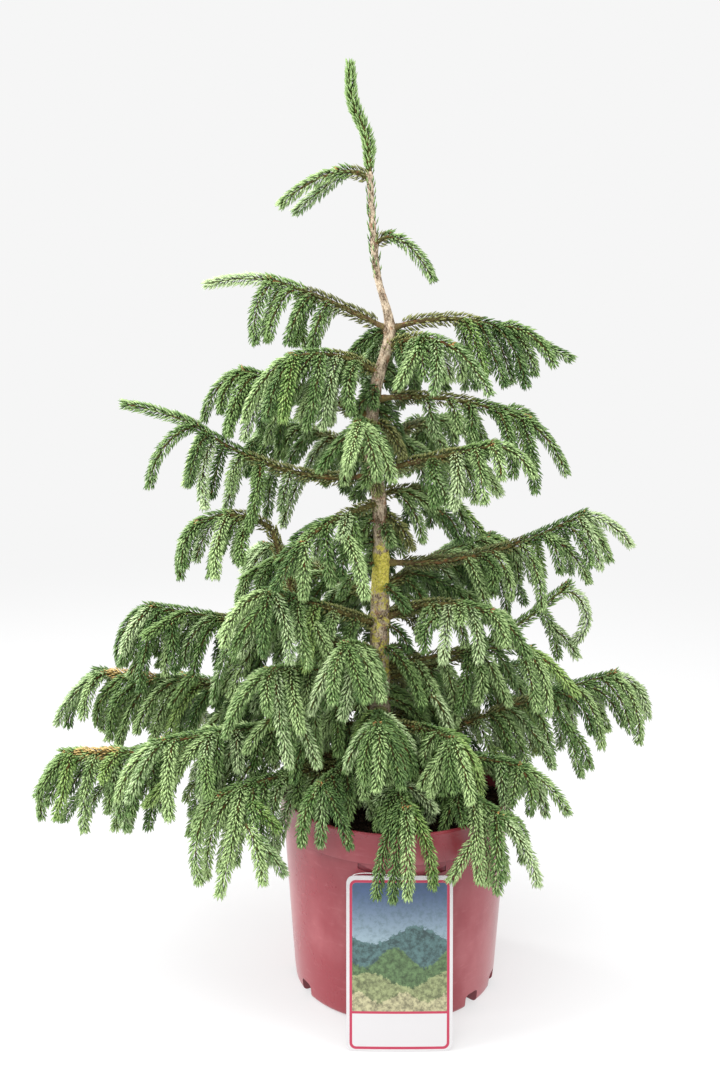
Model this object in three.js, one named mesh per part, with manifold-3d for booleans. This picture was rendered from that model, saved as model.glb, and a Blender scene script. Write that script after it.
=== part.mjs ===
// A young weeping spruce in a round nursery pot, with the plain card that leans on the pot.
// Millimetres, Z up. The origin is the middle of the pot's flat underside, X runs to the right
// and Y runs away from the viewer, so headings are measured from +X towards +Y, in degrees.

import * as THREE from "three";
import { mergeVertices } from "three/addons/utils/BufferGeometryUtils.js";
import Module from "manifold-3d";

const wasm = await Module();
wasm.setup();

// Driving dimensions of the pot
const POT_HEIGHT = 174;
const POT_FOOT_RADIUS = 86.5;
const POT_SHOULDER_RADIUS = 95;
const POT_RIM_RADIUS = 98.5;
const POT_BAND_HEIGHT = 27;
const POT_WALL = 2.2;
const POT_FLOOR = 17;
const POT_EDGE_ROUND = 5;
const POT_EDGE_BEND = 0.3;
const POT_SIDES = 32;
const RIM_STEP = 1;
const RIM_LIP = 1.2;
const RIM_CHAMFER = 0.6;
const NOTCH_HEIGHT = 13;
const NOTCH_WIDTH = 15;
const NOTCH_DEPTH = 16;
const NOTCH_CORNER = 3;
const NOTCH_SPLIT = 25;
const NOTCH_PAIRS = [-31, 90, 197];
const SOIL_LEVEL = 157;
const SOIL_DOME = 3;
const SOIL_DOME_SHARE = 0.6;
const SOIL_EDGE_ROOM = 2.6;

// Driving dimensions of the card
const CARD_WIDTH = 84;
const CARD_HEIGHT = 140;
const CARD_THICK = 0.8;
const CARD_CORNER = 6;
const CARD_HOLE_RADIUS = 2.2;
const CARD_HOLE_DROP = 5.5;
const CARD_OFFSET = 1;
const CARD_LIFT = 0.6;
const CARD_LEAN = 11;
const CARD_ROOM = 4;
const CARD_ARC_STEPS = 2;

// Driving dimensions of the wood
const CLEAR = 0.3;
const JACKET_CLEAR = 0.35;
const TRUNK_TOP = 676;
const TRUNK_SIDES = 8;
const TRUNK_STEP = 32;
const TRUNK_END_ROOM = 8;
const BOUGH_SIDES = 5;
const BOUGH_STEPS = 5;
const BOUGH_TAPER = 0.6;
const HEAD_LIFT = 0.7;
const BOUGH_END_SHARE = 0.95;
const WOOD_START_SHARE = 0.1;
const TRUNK_FLARE = 3.5;
const FLARE_HEIGHT = 14;
const FLARE_RINGS = [0, 4, 9, FLARE_HEIGHT];
// Where the trunk bends: height, and how far it then stands to the side of the pot's middle
const TRUNK_BENDS = [
  [157, -12], [290, -14], [410, -14], [469, -21], [510, -18], [557, -7], [600, -17], [676, -23],
];
// Diameter of the trunk at a height
const TRUNK_GIRTHS = [[157, 19], [336, 15.6], [390, 12.4], [500, 10], [557, 8.4], [580, 6], [676, 4.4]];
const LEADER_BENDS = [[676, -23], [700, -25], [728, -36], [756, -38]];

// Driving dimensions of the needle-clad shoots
const NEEDLE_REACH = 7.5;
const SHOOT_CORE = 4;
const STEM_CORE = 2.2;
const STEM_REACH = 4.4;
const STEM_TAPER = 0.6;
const SHOOT_TAPER = 0.8;
const LEADER_TRIM = 0.6;
const STEM_TOOTH_PITCH = 26;
const TOOTH_PITCH = 21;
const TOOTH_TIP_SHARE = 0.85;
const TOOTH_FOOT_SHARE = 1.05;
const LAST_TOOTH_SHARE = 0.4;
const TOOTH_TWIST = 60;
const SHOOT_SIDES = 3;
const PATH_STEPS = 5;
const SPACING = 0.9;
const ROOT_SINK = 0.7;
const STEM_END = 0.96;
const ROOT_ROOM = 5;
const ROOT_SHARE = 0.45;
const OWN_ROOM = 0.75;
const BALL_STEP = 5;
// Pitches in degrees, each with how far the seeded numbers spread it
const SET_OFF_PITCH = -2;
const SET_OFF_SPREAD = 20;
const HANG_PITCH = -86;
const HANG_SPREAD = 16;
// The widest that shoots turn off their stem, in degrees, and the shares of it that are drawn
const FAN = 62;
const FAN_LEAST = 0.7;
const FAN_SPREAD = 0.5;
const LENGTH_LEAST = 0.82;
const LENGTH_SPREAD = 0.34;
const PLACE_SPREAD = 0.7;
const BOUGH_FIRST_SHARE = 0.06;
const SWAY = 5;
const SWAY_SEED = 100;
const SHOOT_SEED = 1000;
// Other ways round in which a shoot is tried, in degrees of heading, before it is left out
const TURNS = [0, 20, -20, 40, -40, 60];
const SIZES = [1, 0.8, 0.64];
const SEED_STEP = 0x6d2b79f5;

// One row a limb. rise is its height on the trunk, heading its compass, reach how far out its wood
// goes, tip the height that it goes to and arch how far its middle stands over the straight line.
// bare is the share of it that is a bare bough of that girth, and 0 where the needles start at the
// trunk. It carries so many shoots of the length hang, and end is the pitch that its tip turns to.
// Some state the share of the stem that the shoots start at, the angle that they fan out by, or the
// pitch that they droop to.
const LIMBS = [
  { name: "top_left", rise: 671, heading: 178, reach: 24, tip: 676, arch: 2, bare: 0,
    shoots: 1, hang: 58, end: -38, fan: 30, droop: -36 },
  { name: "high_right", rise: 622, heading: -12, reach: 12, tip: 628, arch: 1, bare: 0,
    shoots: 0, hang: 50, end: -74 },
  { name: "upper_left", rise: 556, heading: 173, reach: 96, tip: 595, arch: 3,
    bare: 0.34, girth: 4.2, shoots: 8, hang: 56, end: -14 },
  { name: "upper_right", rise: 557, heading: 8, reach: 98, tip: 554, arch: 9,
    bare: 0.4, girth: 4.2, shoots: 8, hang: 60, end: -26 },
  { name: "upper_right_front", rise: 541, heading: -34, reach: 62, tip: 546, arch: 8, bare: 0,
    shoots: 6, hang: 52, end: -56 },
  { name: "upper_left_front", rise: 522, heading: 206, reach: 76, tip: 538, arch: 8, bare: 0,
    shoots: 8, hang: 68, end: -66 },
  { name: "upper_back", rise: 538, heading: 82, reach: 88, tip: 548, arch: 8, bare: 0,
    shoots: 6, hang: 54, end: -55 },
  { name: "left_arch", rise: 487, heading: 168, reach: 108, tip: 522, arch: 2,
    bare: 0.36, girth: 4.6, shoots: 6, hang: 58, end: -80 },
  { name: "right", rise: 502, heading: -10, reach: 122, tip: 488, arch: 8,
    bare: 0.24, girth: 4.6, shoots: 9, hang: 58, end: -66 },
  { name: "right_front", rise: 444, heading: -30, reach: 105, tip: 474, arch: 0,
    bare: 0.4, girth: 4.8, shoots: 6, hang: 46, end: -54 },
  { name: "right_behind", rise: 424, heading: 35, reach: 80, tip: 408, arch: 8, bare: 0,
    shoots: 5, hang: 44, end: -60 },
  { name: "front_upper", rise: 476, heading: 258, reach: 54, tip: 490, arch: 3, bare: 0,
    shoots: 5, hang: 48, end: -50 },
  { name: "left", rise: 441, heading: 179, reach: 148, tip: 483, arch: -17,
    bare: 0.32, girth: 5, shoots: 9, hang: 62, end: 10 },
  { name: "back_right", rise: 462, heading: 52, reach: 122, tip: 474, arch: 6, bare: 0,
    shoots: 5, hang: 54, end: -55 },
  { name: "back_left", rise: 452, heading: 132, reach: 130, tip: 470, arch: 6, bare: 0,
    shoots: 5, hang: 54, end: -55 },
  { name: "long_right", rise: 369, heading: 8, reach: 172, tip: 404, arch: -14,
    bare: 0.36, girth: 5.4, shoots: 9, hang: 54, end: -60 },
  { name: "left_front_mid", rise: 418, heading: 224, reach: 86, tip: 396, arch: 5, bare: 0,
    shoots: 6, hang: 48, end: -48 },
  { name: "left_riser", rise: 254, heading: 188, reach: 88, tip: 398, arch: -44, bare: 1, girth: 6.4,
    head: { heading: 186, reach: 60, climb: 5, arch: 9 }, shoots: 9, hang: 52, end: -84 },
  { name: "mid_back_right", rise: 346, heading: 50, reach: 162, tip: 362, arch: 4, bare: 0,
    shoots: 6, hang: 56, end: -55 },
  { name: "mid_back_left", rise: 336, heading: 128, reach: 172, tip: 350, arch: 4, bare: 0,
    shoots: 6, hang: 56, end: -55 },
  { name: "right_mid_front", rise: 318, heading: -24, reach: 98, tip: 337, arch: 11,
    bare: 0.34, girth: 5, shoots: 6, hang: 50, end: -66 },
  { name: "right_mid", rise: 276, heading: -6, reach: 124, tip: 298, arch: 6, bare: 0,
    shoots: 7, hang: 58, end: -66 },
  { name: "right_curl", rise: 268, heading: 5, reach: 158, tip: 346, arch: -16, bare: 0,
    shoots: 4, hang: 64, end: -130 },
  { name: "left_mid", rise: 290, heading: 180, reach: 192, tip: 331, arch: 2,
    bare: 0.34, girth: 5.6, shoots: 10, hang: 66, end: -84 },
  { name: "left_front", rise: 314, heading: 214, reach: 108, tip: 360, arch: 2, bare: 0,
    shoots: 10, hang: 66, end: -60, droop: -78 },
  { name: "left_front_low", rise: 262, heading: 218, reach: 112, tip: 298, arch: 6, bare: 0,
    shoots: 10, hang: 70, end: -70 },
  { name: "front_mid", rise: 284, heading: 250, reach: 84, tip: 322, arch: 5, bare: 0,
    shoots: 7, hang: 58, end: -58 },
  { name: "right_low", rise: 200, heading: 10, reach: 206, tip: 260, arch: 3,
    bare: 0.34, girth: 6, shoots: 11, hang: 68, end: -70 },
  { name: "left_low", rise: 238, heading: 175, reach: 242, tip: 267, arch: 3,
    bare: 0.34, girth: 6, shoots: 11, hang: 64, end: -86 },
  { name: "left_lowest", rise: 196, heading: 191, reach: 262, tip: 222, arch: 4,
    bare: 0.36, girth: 6, shoots: 9, hang: 64, end: -92 },
  { name: "left_front_far", rise: 226, heading: 205, reach: 196, tip: 244, arch: 6, bare: 0,
    shoots: 10, hang: 62, end: -66 },
  { name: "left_front_lowest", rise: 188, heading: 217, reach: 164, tip: 206, arch: 9, bare: 0,
    shoots: 9, hang: 74, end: -80, first: 0.66, fan: 48 },
  { name: "right_front_low", rise: 196, heading: -24, reach: 126, tip: 210, arch: 7, bare: 0,
    shoots: 8, hang: 60, end: -50, first: 0.3 },
  { name: "right_front_lowest", rise: 182, heading: -44, reach: 132, tip: 184, arch: 12, bare: 0,
    shoots: 7, hang: 66, end: -66, first: 0.76, fan: 48 },
  { name: "front_low", rise: 236, heading: 268, reach: 92, tip: 262, arch: 5, bare: 0,
    shoots: 8, hang: 60, end: -64 },
  { name: "front_right_low", rise: 226, heading: -56, reach: 100, tip: 246, arch: 5, bare: 0,
    shoots: 8, hang: 58, end: -64 },
  { name: "front_left_low", rise: 198, heading: 243, reach: 110, tip: 214, arch: 6, bare: 0,
    shoots: 6, hang: 52, end: -76, first: 0.5, fan: 44 },
  { name: "front_lowest", rise: 186, heading: 280, reach: 108, tip: 198, arch: 8, bare: 0,
    shoots: 7, hang: 72, end: -78, first: 0.8, fan: 52 },
  { name: "low_back_right", rise: 230, heading: 38, reach: 190, tip: 246, arch: 5, bare: 0,
    shoots: 6, hang: 60, end: -60 },
  { name: "low_back", rise: 206, heading: 72, reach: 186, tip: 226, arch: 5, bare: 0,
    shoots: 6, hang: 60, end: -60 },
  { name: "low_back_left", rise: 248, heading: 106, reach: 192, tip: 252, arch: 6, bare: 0,
    shoots: 6, hang: 60, end: -60 },
  { name: "lowest_back_left", rise: 208, heading: 146, reach: 226, tip: 228, arch: 6, bare: 0,
    shoots: 7, hang: 60, end: -60 },
];

const BARK = { color: 0x86705a, roughness: 0.9, metalness: 0 };
const NEEDLES = { color: 0x4f8148, roughness: 0.7, metalness: 0 };
const POT_PLASTIC = { color: 0xa44650, roughness: 0.45, metalness: 0 };
const PEAT = { color: 0x33231c, roughness: 1, metalness: 0 };
const CARD_STOCK = { color: 0xf4f3f1, roughness: 0.5, metalness: 0 };

const DEGREE = Math.PI / 180;

// Solids and meshes
function solidOf(geometry) {
  const bare = geometry.index ? geometry.toNonIndexed() : geometry.clone();
  bare.deleteAttribute("normal");
  bare.deleteAttribute("uv");
  const merged = mergeVertices(bare, 1e-4);
  const corners = merged.index.array;
  const kept = [];
  for (let i = 0; i < corners.length; i += 3) {
    const [a, b, c] = [corners[i], corners[i + 1], corners[i + 2]];
    if (a !== b && b !== c && c !== a) kept.push(a, b, c);
  }
  return new wasm.Manifold(
    new wasm.Mesh({
      numProp: 3,
      vertProperties: new Float32Array(merged.attributes.position.array),
      triVerts: new Uint32Array(kept),
    }),
  );
}

function meshOf(name, solid, look) {
  const made = solid.getMesh();
  const geometry = new THREE.BufferGeometry();
  geometry.setAttribute("position", new THREE.BufferAttribute(made.vertProperties, 3));
  geometry.setIndex(new THREE.BufferAttribute(made.triVerts, 1));
  geometry.computeVertexNormals();
  const mesh = new THREE.Mesh(geometry, new THREE.MeshStandardMaterial(look));
  mesh.name = name;
  return mesh;
}

// A solid turned about its own length from (radius, distance along) pairs, then bent along a curve.
// Its sides twist by so many degrees for each millimetre.
function bentSolid(profile, sides, curve, length, heading, twist = 0) {
  const points = profile.map(([radius, along]) => new THREE.Vector2(radius, along));
  const geometry = new THREE.LatheGeometry(points, sides);
  const across = new THREE.Vector3(-Math.sin(heading * DEGREE), Math.cos(heading * DEGREE), 0);
  const position = geometry.attributes.position;
  for (let i = 0; i < position.count; i++) {
    const along = position.getY(i);
    const share = THREE.MathUtils.clamp(along / length, 0, 1);
    const centre = curve.getPointAt(share);
    const ahead = curve.getTangentAt(share);
    const side = across.clone().addScaledVector(ahead, -across.dot(ahead)).normalize();
    const over = side.clone().cross(ahead);
    const turn = twist * along * DEGREE;
    const x = position.getX(i) * Math.cos(turn) - position.getZ(i) * Math.sin(turn);
    const z = position.getX(i) * Math.sin(turn) + position.getZ(i) * Math.cos(turn);
    centre.addScaledVector(side, x).addScaledVector(over, z);
    position.setXYZ(i, centre.x, centre.y, centre.z);
  }
  return solidOf(geometry);
}

// The seeded numbers, each from 0 to 1, that the branching rule draws on
function seeded(seed) {
  let state = seed >>> 0;
  return () => {
    state = (state + SEED_STEP) >>> 0;
    let mixed = Math.imul(state ^ (state >>> 15), state | 1);
    mixed ^= mixed + Math.imul(mixed ^ (mixed >>> 7), mixed | 61);
    return ((mixed ^ (mixed >>> 14)) >>> 0) / 4294967296;
  };
}

function between(pairs, x) {
  for (let i = 1; i < pairs.length; i++) {
    const [x0, y0] = pairs[i - 1];
    const [x1, y1] = pairs[i];
    if (x <= x1) return y0 + ((y1 - y0) * Math.max(0, x - x0)) / (x1 - x0);
  }
  return pairs[pairs.length - 1][1];
}

function direction(heading, pitch) {
  const flat = Math.cos(pitch * DEGREE);
  return new THREE.Vector3(
    Math.cos(heading * DEGREE) * flat,
    Math.sin(heading * DEGREE) * flat,
    Math.sin(pitch * DEGREE),
  );
}

// Trunk
const trunkPoints = TRUNK_BENDS.map(([height, offset]) => new THREE.Vector3(offset, 0, height));
trunkPoints[0].z += CLEAR;
const trunkCurve = new THREE.CatmullRomCurve3(trunkPoints);

function trunkRadius(height) {
  const flare = TRUNK_FLARE * Math.max(0, 1 - (height - SOIL_LEVEL) / FLARE_HEIGHT) ** 2;
  return between(TRUNK_GIRTHS, height) / 2 + flare;
}

function trunkSolid(extra) {
  const length = trunkCurve.getLength();
  const rings = [...FLARE_RINGS];
  for (let along = FLARE_HEIGHT + TRUNK_STEP; along < length - TRUNK_END_ROOM; along += TRUNK_STEP) {
    rings.push(along);
  }
  rings.push(length);
  const profile = rings.map((along) => {
    const height = trunkCurve.getPointAt(along / length).z;
    return [trunkRadius(height) + extra, along];
  });
  return bentSolid([[0, 0], ...profile, [0, length]], TRUNK_SIDES, trunkCurve, length, 0);
}

// Where a limb's wood runs: a bow from the trunk's middle to its tip, with a slight sway
function limbPoint(limb, share) {
  const out = direction(limb.heading, 0);
  const side = direction(limb.heading + 90, 0);
  const point = new THREE.Vector3(between(TRUNK_BENDS, limb.rise), 0, limb.rise);
  point.addScaledVector(out, limb.reach * share);
  point.addScaledVector(side, limb.sway * Math.sin(2 * Math.PI * share));
  point.z += (limb.tip - limb.rise) * share + 4 * limb.arch * share * (1 - share);
  return point;
}

function limbPoints(limb, from, to, steps) {
  const points = [];
  for (let i = 0; i <= steps; i++) points.push(limbPoint(limb, from + ((to - from) * i) / steps));
  return points;
}

function headingOf(vector) {
  return Math.atan2(vector.y, vector.x) / DEGREE;
}

function pitchOf(vector) {
  return Math.atan2(vector.z, Math.hypot(vector.x, vector.y)) / DEGREE;
}

// The stem that carries a mass of foliage: what is left of its limb, or the head of a bare bough
function stemPoints(limb) {
  if (!limb.head) return limbPoints(limb, limb.bare, 1, PATH_STEPS);
  const foot = limbPoint(limb, 1);
  const out = direction(limb.head.heading, 0);
  const ahead = foot.clone().sub(limbPoint(limb, BOUGH_END_SHARE)).normalize();
  foot.addScaledVector(ahead, STEM_CORE * HEAD_LIFT);
  const points = [];
  for (let i = 0; i <= PATH_STEPS; i++) {
    const share = i / PATH_STEPS;
    const point = foot.clone().addScaledVector(out, limb.head.reach * share);
    point.z += limb.head.climb * share + 4 * limb.head.arch * share * (1 - share);
    points.push(point);
  }
  return points;
}

// A shoot's axis: it sets off at one pitch and its own weight turns it to another
function shootPoints(start, heading, from, to, length) {
  const points = [start.clone().addScaledVector(direction(heading, from), -ROOT_SINK)];
  for (let i = 0; i < PATH_STEPS; i++) {
    const pitch = from + (to - from) * Math.sqrt((i + 0.5) / PATH_STEPS);
    const next = points[i].clone().addScaledVector(direction(heading, pitch), length / PATH_STEPS);
    points.push(next);
  }
  return points;
}

// What is already there, as balls along each axis: its owner, middle and radius
const taken = [];

function take(owner, points, radius) {
  const curve = new THREE.CatmullRomCurve3(points);
  const count = Math.ceil(curve.getLength() / BALL_STEP);
  for (let i = 0; i <= count; i++) {
    taken.push({ owner, middle: curve.getPoint(i / count), radius: radius(i / count) });
  }
}

function hitsPot(point, radius) {
  const out = Math.hypot(point.x, point.y);
  if (point.z > POT_HEIGHT + radius) return false;
  const inside = out < POT_RIM_RADIUS - POT_WALL - radius && point.z > SOIL_LEVEL + SOIL_DOME + radius;
  return !inside && out < POT_RIM_RADIUS + radius;
}

function hitsCard(point, radius) {
  const lean = Math.tan(CARD_LEAN * DEGREE);
  const behind = point.y + POT_SHOULDER_RADIUS + CARD_ROOM + (CARD_HEIGHT - point.z) * lean;
  const beside = Math.abs(point.x - CARD_OFFSET) > CARD_WIDTH / 2 + radius;
  return !beside && point.z < CARD_HEIGHT + radius && behind > -radius;
}

function isClear(owner, points, radius) {
  const axis = new THREE.CatmullRomCurve3(points);
  const count = Math.ceil(axis.getLength() / BALL_STEP);
  for (let i = 1; i <= count; i++) {
    const middle = axis.getPoint(i / count);
    if (hitsPot(middle, radius + SPACING) || hitsCard(middle, radius + SPACING)) return false;
    const nearRoot = i / count < ROOT_SHARE;
    for (const other of taken) {
      if (other.owner === owner && nearRoot) continue;
      const reach = radius + other.radius;
      const room = other.owner === owner ? OWN_ROOM * reach : reach + SPACING;
      if (middle.distanceToSquared(other.middle) < room * room) return false;
    }
  }
  return true;
}

// The branching rule: shoots leave the stem by turns to its left and right, and hang
function growShoots(limb, index) {
  const random = seeded(SHOOT_SEED + index);
  const stem = new THREE.CatmullRomCurve3(limb.stem);
  const shoots = [];
  const place = (share, turn, from, to, length) => {
    const start = stem.getPoint(share);
    const heading = headingOf(stem.getTangent(share));
    for (const extra of TURNS) {
      for (const size of SIZES) {
        const points = shootPoints(start, heading + turn + extra, from, to, length * size);
        if (!isClear(limb.name, points, NEEDLE_REACH)) continue;
        take(limb.name, points, () => NEEDLE_REACH);
        shoots.push({ points, heading: heading + turn + extra });
        return;
      }
    }
  };
  place(STEM_END, 0, pitchOf(stem.getTangent(1)), limb.end, limb.hang);
  const clearOfTrunk = limb.bare > 0 ? BOUGH_FIRST_SHARE : (trunkRadius(limb.rise) + ROOT_ROOM) / limb.reach;
  const { first = clearOfTrunk, fan = FAN, droop = HANG_PITCH } = limb;
  for (let i = 0; i < limb.shoots; i++) {
    const along = (i + 0.5 + PLACE_SPREAD * (random() - 0.5)) / limb.shoots;
    const turn = (i % 2 ? 1 : -1) * fan * (FAN_LEAST + FAN_SPREAD * random());
    const length = limb.hang * (LENGTH_LEAST + LENGTH_SPREAD * random());
    const from = SET_OFF_PITCH - SET_OFF_SPREAD * random();
    const to = droop + HANG_SPREAD * random();
    place(first + (STEM_END - first) * along, turn, from, to, length);
  }
  return shoots;
}

// A needle-clad length: a slim core that rings of needle tips stand out of
function needleProfile(length, foot, core, reach, taper, toothPitch) {
  const teeth = Math.max(2, Math.round(length / toothPitch));
  const pitch = length / (teeth + LAST_TOOTH_SHARE);
  const profile = foot > 0 ? [[0, 0], [foot, 0]] : [[0, 0]];
  for (let i = 0; i < teeth; i++) {
    const spread = reach * (i === teeth - 1 ? taper : 1);
    profile.push([spread, (i + TOOTH_TIP_SHARE) * pitch]);
    if (i < teeth - 1) profile.push([core, (i + TOOTH_FOOT_SHARE) * pitch]);
  }
  profile.push([0, length]);
  return profile;
}

function needleSolid(points, heading, foot, core, reach, taper, toothPitch = TOOTH_PITCH) {
  const curve = new THREE.CatmullRomCurve3(points);
  const length = curve.getLength();
  const profile = needleProfile(length, foot, core, reach, taper, toothPitch);
  return bentSolid(profile, SHOOT_SIDES, curve, length, heading, TOOTH_TWIST / toothPitch);
}

function foliageSolid(limb, jacket) {
  const stem = limb.stem.map((point) => point.clone());
  const ahead = stem[1].clone().sub(stem[0]).normalize();
  if (limb.bare > 0) stem[0].addScaledVector(ahead, CLEAR);
  const heading = headingOf(ahead);
  let solid = needleSolid(stem, heading, STEM_CORE, STEM_CORE, STEM_REACH, STEM_TAPER, STEM_TOOTH_PITCH);
  for (const shoot of limb.grown) {
    solid = solid.add(needleSolid(shoot.points, shoot.heading, 0, SHOOT_CORE, NEEDLE_REACH, SHOOT_TAPER));
  }
  return limb.bare > 0 ? solid : solid.subtract(jacket);
}

function boughSolid(limb, jacket) {
  const curve = new THREE.CatmullRomCurve3(limbPoints(limb, 0, limb.bare, BOUGH_STEPS));
  const length = curve.getLength();
  const profile = [[0, 0]];
  for (let i = 0; i <= BOUGH_STEPS; i++) {
    const share = i / BOUGH_STEPS;
    profile.push([boughRadius(limb, share), share * length]);
  }
  profile.push([0, length]);
  return bentSolid(profile, BOUGH_SIDES, curve, length, limb.heading).subtract(jacket);
}

function boughRadius(limb, share) {
  const tip = Math.max(STEM_CORE, (limb.girth / 2) * BOUGH_TAPER);
  return limb.girth / 2 + (tip - limb.girth / 2) * share;
}

// Pot
function wallRadius(height) {
  const shoulder = POT_HEIGHT - POT_BAND_HEIGHT;
  return POT_FOOT_RADIUS + ((POT_SHOULDER_RADIUS - POT_FOOT_RADIUS) * Math.min(height, shoulder)) / shoulder;
}

function potSolid() {
  const shoulder = POT_HEIGHT - POT_BAND_HEIGHT;
  const outline = [
    [0, 0],
    [POT_FOOT_RADIUS - POT_EDGE_ROUND, 0],
    [wallRadius(0) - POT_EDGE_ROUND * POT_EDGE_BEND, POT_EDGE_ROUND * POT_EDGE_BEND],
    [wallRadius(POT_EDGE_ROUND), POT_EDGE_ROUND],
    [wallRadius(shoulder), shoulder],
    [POT_RIM_RADIUS - RIM_LIP, shoulder + RIM_STEP],
    [POT_RIM_RADIUS - RIM_CHAMFER, POT_HEIGHT - RIM_LIP - RIM_CHAMFER],
    [POT_RIM_RADIUS, POT_HEIGHT - RIM_LIP],
    [POT_RIM_RADIUS - RIM_CHAMFER, POT_HEIGHT],
    [POT_RIM_RADIUS - POT_WALL, POT_HEIGHT],
    [POT_RIM_RADIUS - POT_WALL - RIM_LIP, shoulder + RIM_STEP],
    [wallRadius(POT_FLOOR) - POT_WALL, POT_FLOOR],
    [0, POT_FLOOR],
  ];
  const points = outline.map(([radius, height]) => new THREE.Vector2(radius, height));
  const shell = new THREE.LatheGeometry(points, POT_SIDES).rotateX(Math.PI / 2);
  let solid = solidOf(shell);
  for (const pair of NOTCH_PAIRS) {
    for (const half of [-0.5, 0.5]) solid = solid.subtract(notchSolid(pair + half * NOTCH_SPLIT));
  }
  return solid;
}

// A drain notch: an opening with bevelled corners through the foot's edge, at a heading
function notchSolid(heading) {
  const arch = new THREE.Shape();
  const half = NOTCH_WIDTH / 2;
  arch.moveTo(-half, -NOTCH_HEIGHT);
  arch.lineTo(half, -NOTCH_HEIGHT);
  arch.lineTo(half, NOTCH_HEIGHT - NOTCH_CORNER);
  arch.lineTo(half - NOTCH_CORNER, NOTCH_HEIGHT);
  arch.lineTo(NOTCH_CORNER - half, NOTCH_HEIGHT);
  arch.lineTo(-half, NOTCH_HEIGHT - NOTCH_CORNER);
  arch.closePath();
  const block = new THREE.ExtrudeGeometry(arch, { depth: NOTCH_DEPTH * 2, bevelEnabled: false });
  block.rotateX(Math.PI / 2);
  block.rotateZ(Math.PI / 2 + heading * DEGREE);
  const out = direction(heading, 0).multiplyScalar(POT_FOOT_RADIUS - NOTCH_DEPTH);
  block.translate(out.x, out.y, 0);
  return solidOf(block);
}

function soilSolid() {
  const low = POT_FLOOR + CLEAR;
  const wall = POT_WALL + CLEAR;
  const top = SOIL_LEVEL - SOIL_DOME;
  const inner = POT_RIM_RADIUS - wall - SOIL_EDGE_ROOM;
  const shoulder = POT_HEIGHT - POT_BAND_HEIGHT;
  const points = [
    [0, low],
    [wallRadius(low) - wall, low],
    [wallRadius(shoulder) - wall - CLEAR, shoulder],
    [inner, top],
    [inner * SOIL_DOME_SHARE, SOIL_LEVEL],
    [0, SOIL_LEVEL],
  ].map(([radius, height]) => new THREE.Vector2(radius, height));
  return solidOf(new THREE.LatheGeometry(points, POT_SIDES).rotateX(Math.PI / 2));
}

// Card
function cardSolid() {
  const half = CARD_WIDTH / 2;
  const face = new THREE.Shape();
  face.moveTo(-half + CARD_CORNER, 0);
  face.lineTo(half - CARD_CORNER, 0);
  face.absarc(half - CARD_CORNER, CARD_CORNER, CARD_CORNER, -Math.PI / 2, 0, false);
  face.absarc(half - CARD_CORNER, CARD_HEIGHT - CARD_CORNER, CARD_CORNER, 0, Math.PI / 2, false);
  face.absarc(-half + CARD_CORNER, CARD_HEIGHT - CARD_CORNER, CARD_CORNER, Math.PI / 2, Math.PI, false);
  face.absarc(-half + CARD_CORNER, CARD_CORNER, CARD_CORNER, Math.PI, Math.PI * 1.5, false);
  const hole = new THREE.Path();
  hole.absarc(0, CARD_HEIGHT - CARD_HOLE_DROP, CARD_HOLE_RADIUS, 0, Math.PI * 2, true);
  face.holes.push(hole);
  const cut = { depth: CARD_THICK, bevelEnabled: false, curveSegments: CARD_ARC_STEPS };
  return solidOf(new THREE.ExtrudeGeometry(face, cut));
}

function cardMesh() {
  const mesh = meshOf("label_card", cardSolid(), CARD_STOCK);
  const lean = CARD_LEAN * DEGREE;
  const top = CARD_HEIGHT * Math.cos(lean) + CARD_LIFT;
  const rest = wallRadius(top) + CLEAR + CARD_THICK / Math.cos(lean);
  mesh.rotation.x = Math.PI / 2 - lean;
  mesh.position.set(CARD_OFFSET, -rest - CARD_HEIGHT * Math.sin(lean) + CARD_THICK, CARD_LIFT);
  return mesh;
}

// The whole plant
function growPlant() {
  LIMBS.forEach((limb, index) => {
    limb.sway = SWAY * (seeded(SWAY_SEED + index)() - 0.5) * Math.min(1, limb.reach / 100);
    limb.stem = stemPoints(limb);
  });
  take("trunk", trunkCurve.points, (share) => trunkRadius(SOIL_LEVEL + share * (TRUNK_TOP - SOIL_LEVEL)));
  take("leader", leaderPoints(), () => NEEDLE_REACH);
  for (const limb of LIMBS) {
    if (limb.bare > 0) {
      take("wood", limbPoints(limb, WOOD_START_SHARE, limb.bare, BOUGH_STEPS), () => limb.girth / 2);
    }
    take(limb.name, limb.stem, () => STEM_REACH);
  }
  LIMBS.forEach((limb, index) => {
    limb.grown = growShoots(limb, index);
  });
}

function leaderPoints() {
  const points = LEADER_BENDS.map(([height, offset]) => new THREE.Vector3(offset, 0, height));
  const ahead = points[1].clone().sub(points[0]).normalize();
  points[0].addScaledVector(ahead, CLEAR);
  return points;
}

function leaderSolid() {
  return needleSolid(leaderPoints(), 0, STEM_CORE, SHOOT_CORE, NEEDLE_REACH - LEADER_TRIM, SHOOT_TAPER);
}

growPlant();
const jacket = trunkSolid(JACKET_CLEAR);

const plant = new THREE.Group();
plant.name = "potted_spruce";
plant.add(meshOf("pot", potSolid(), POT_PLASTIC));
plant.add(meshOf("soil", soilSolid(), PEAT));
plant.add(cardMesh());
plant.add(meshOf("trunk", trunkSolid(0), BARK));
plant.add(meshOf("foliage_leader", leaderSolid(), NEEDLES));
for (const limb of LIMBS) {
  if (limb.bare > 0) plant.add(meshOf("bough_" + limb.name, boughSolid(limb, jacket), BARK));
  plant.add(meshOf("foliage_" + limb.name, foliageSolid(limb, jacket), NEEDLES));
}

export default plant;
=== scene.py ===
import functools
import math

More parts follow.
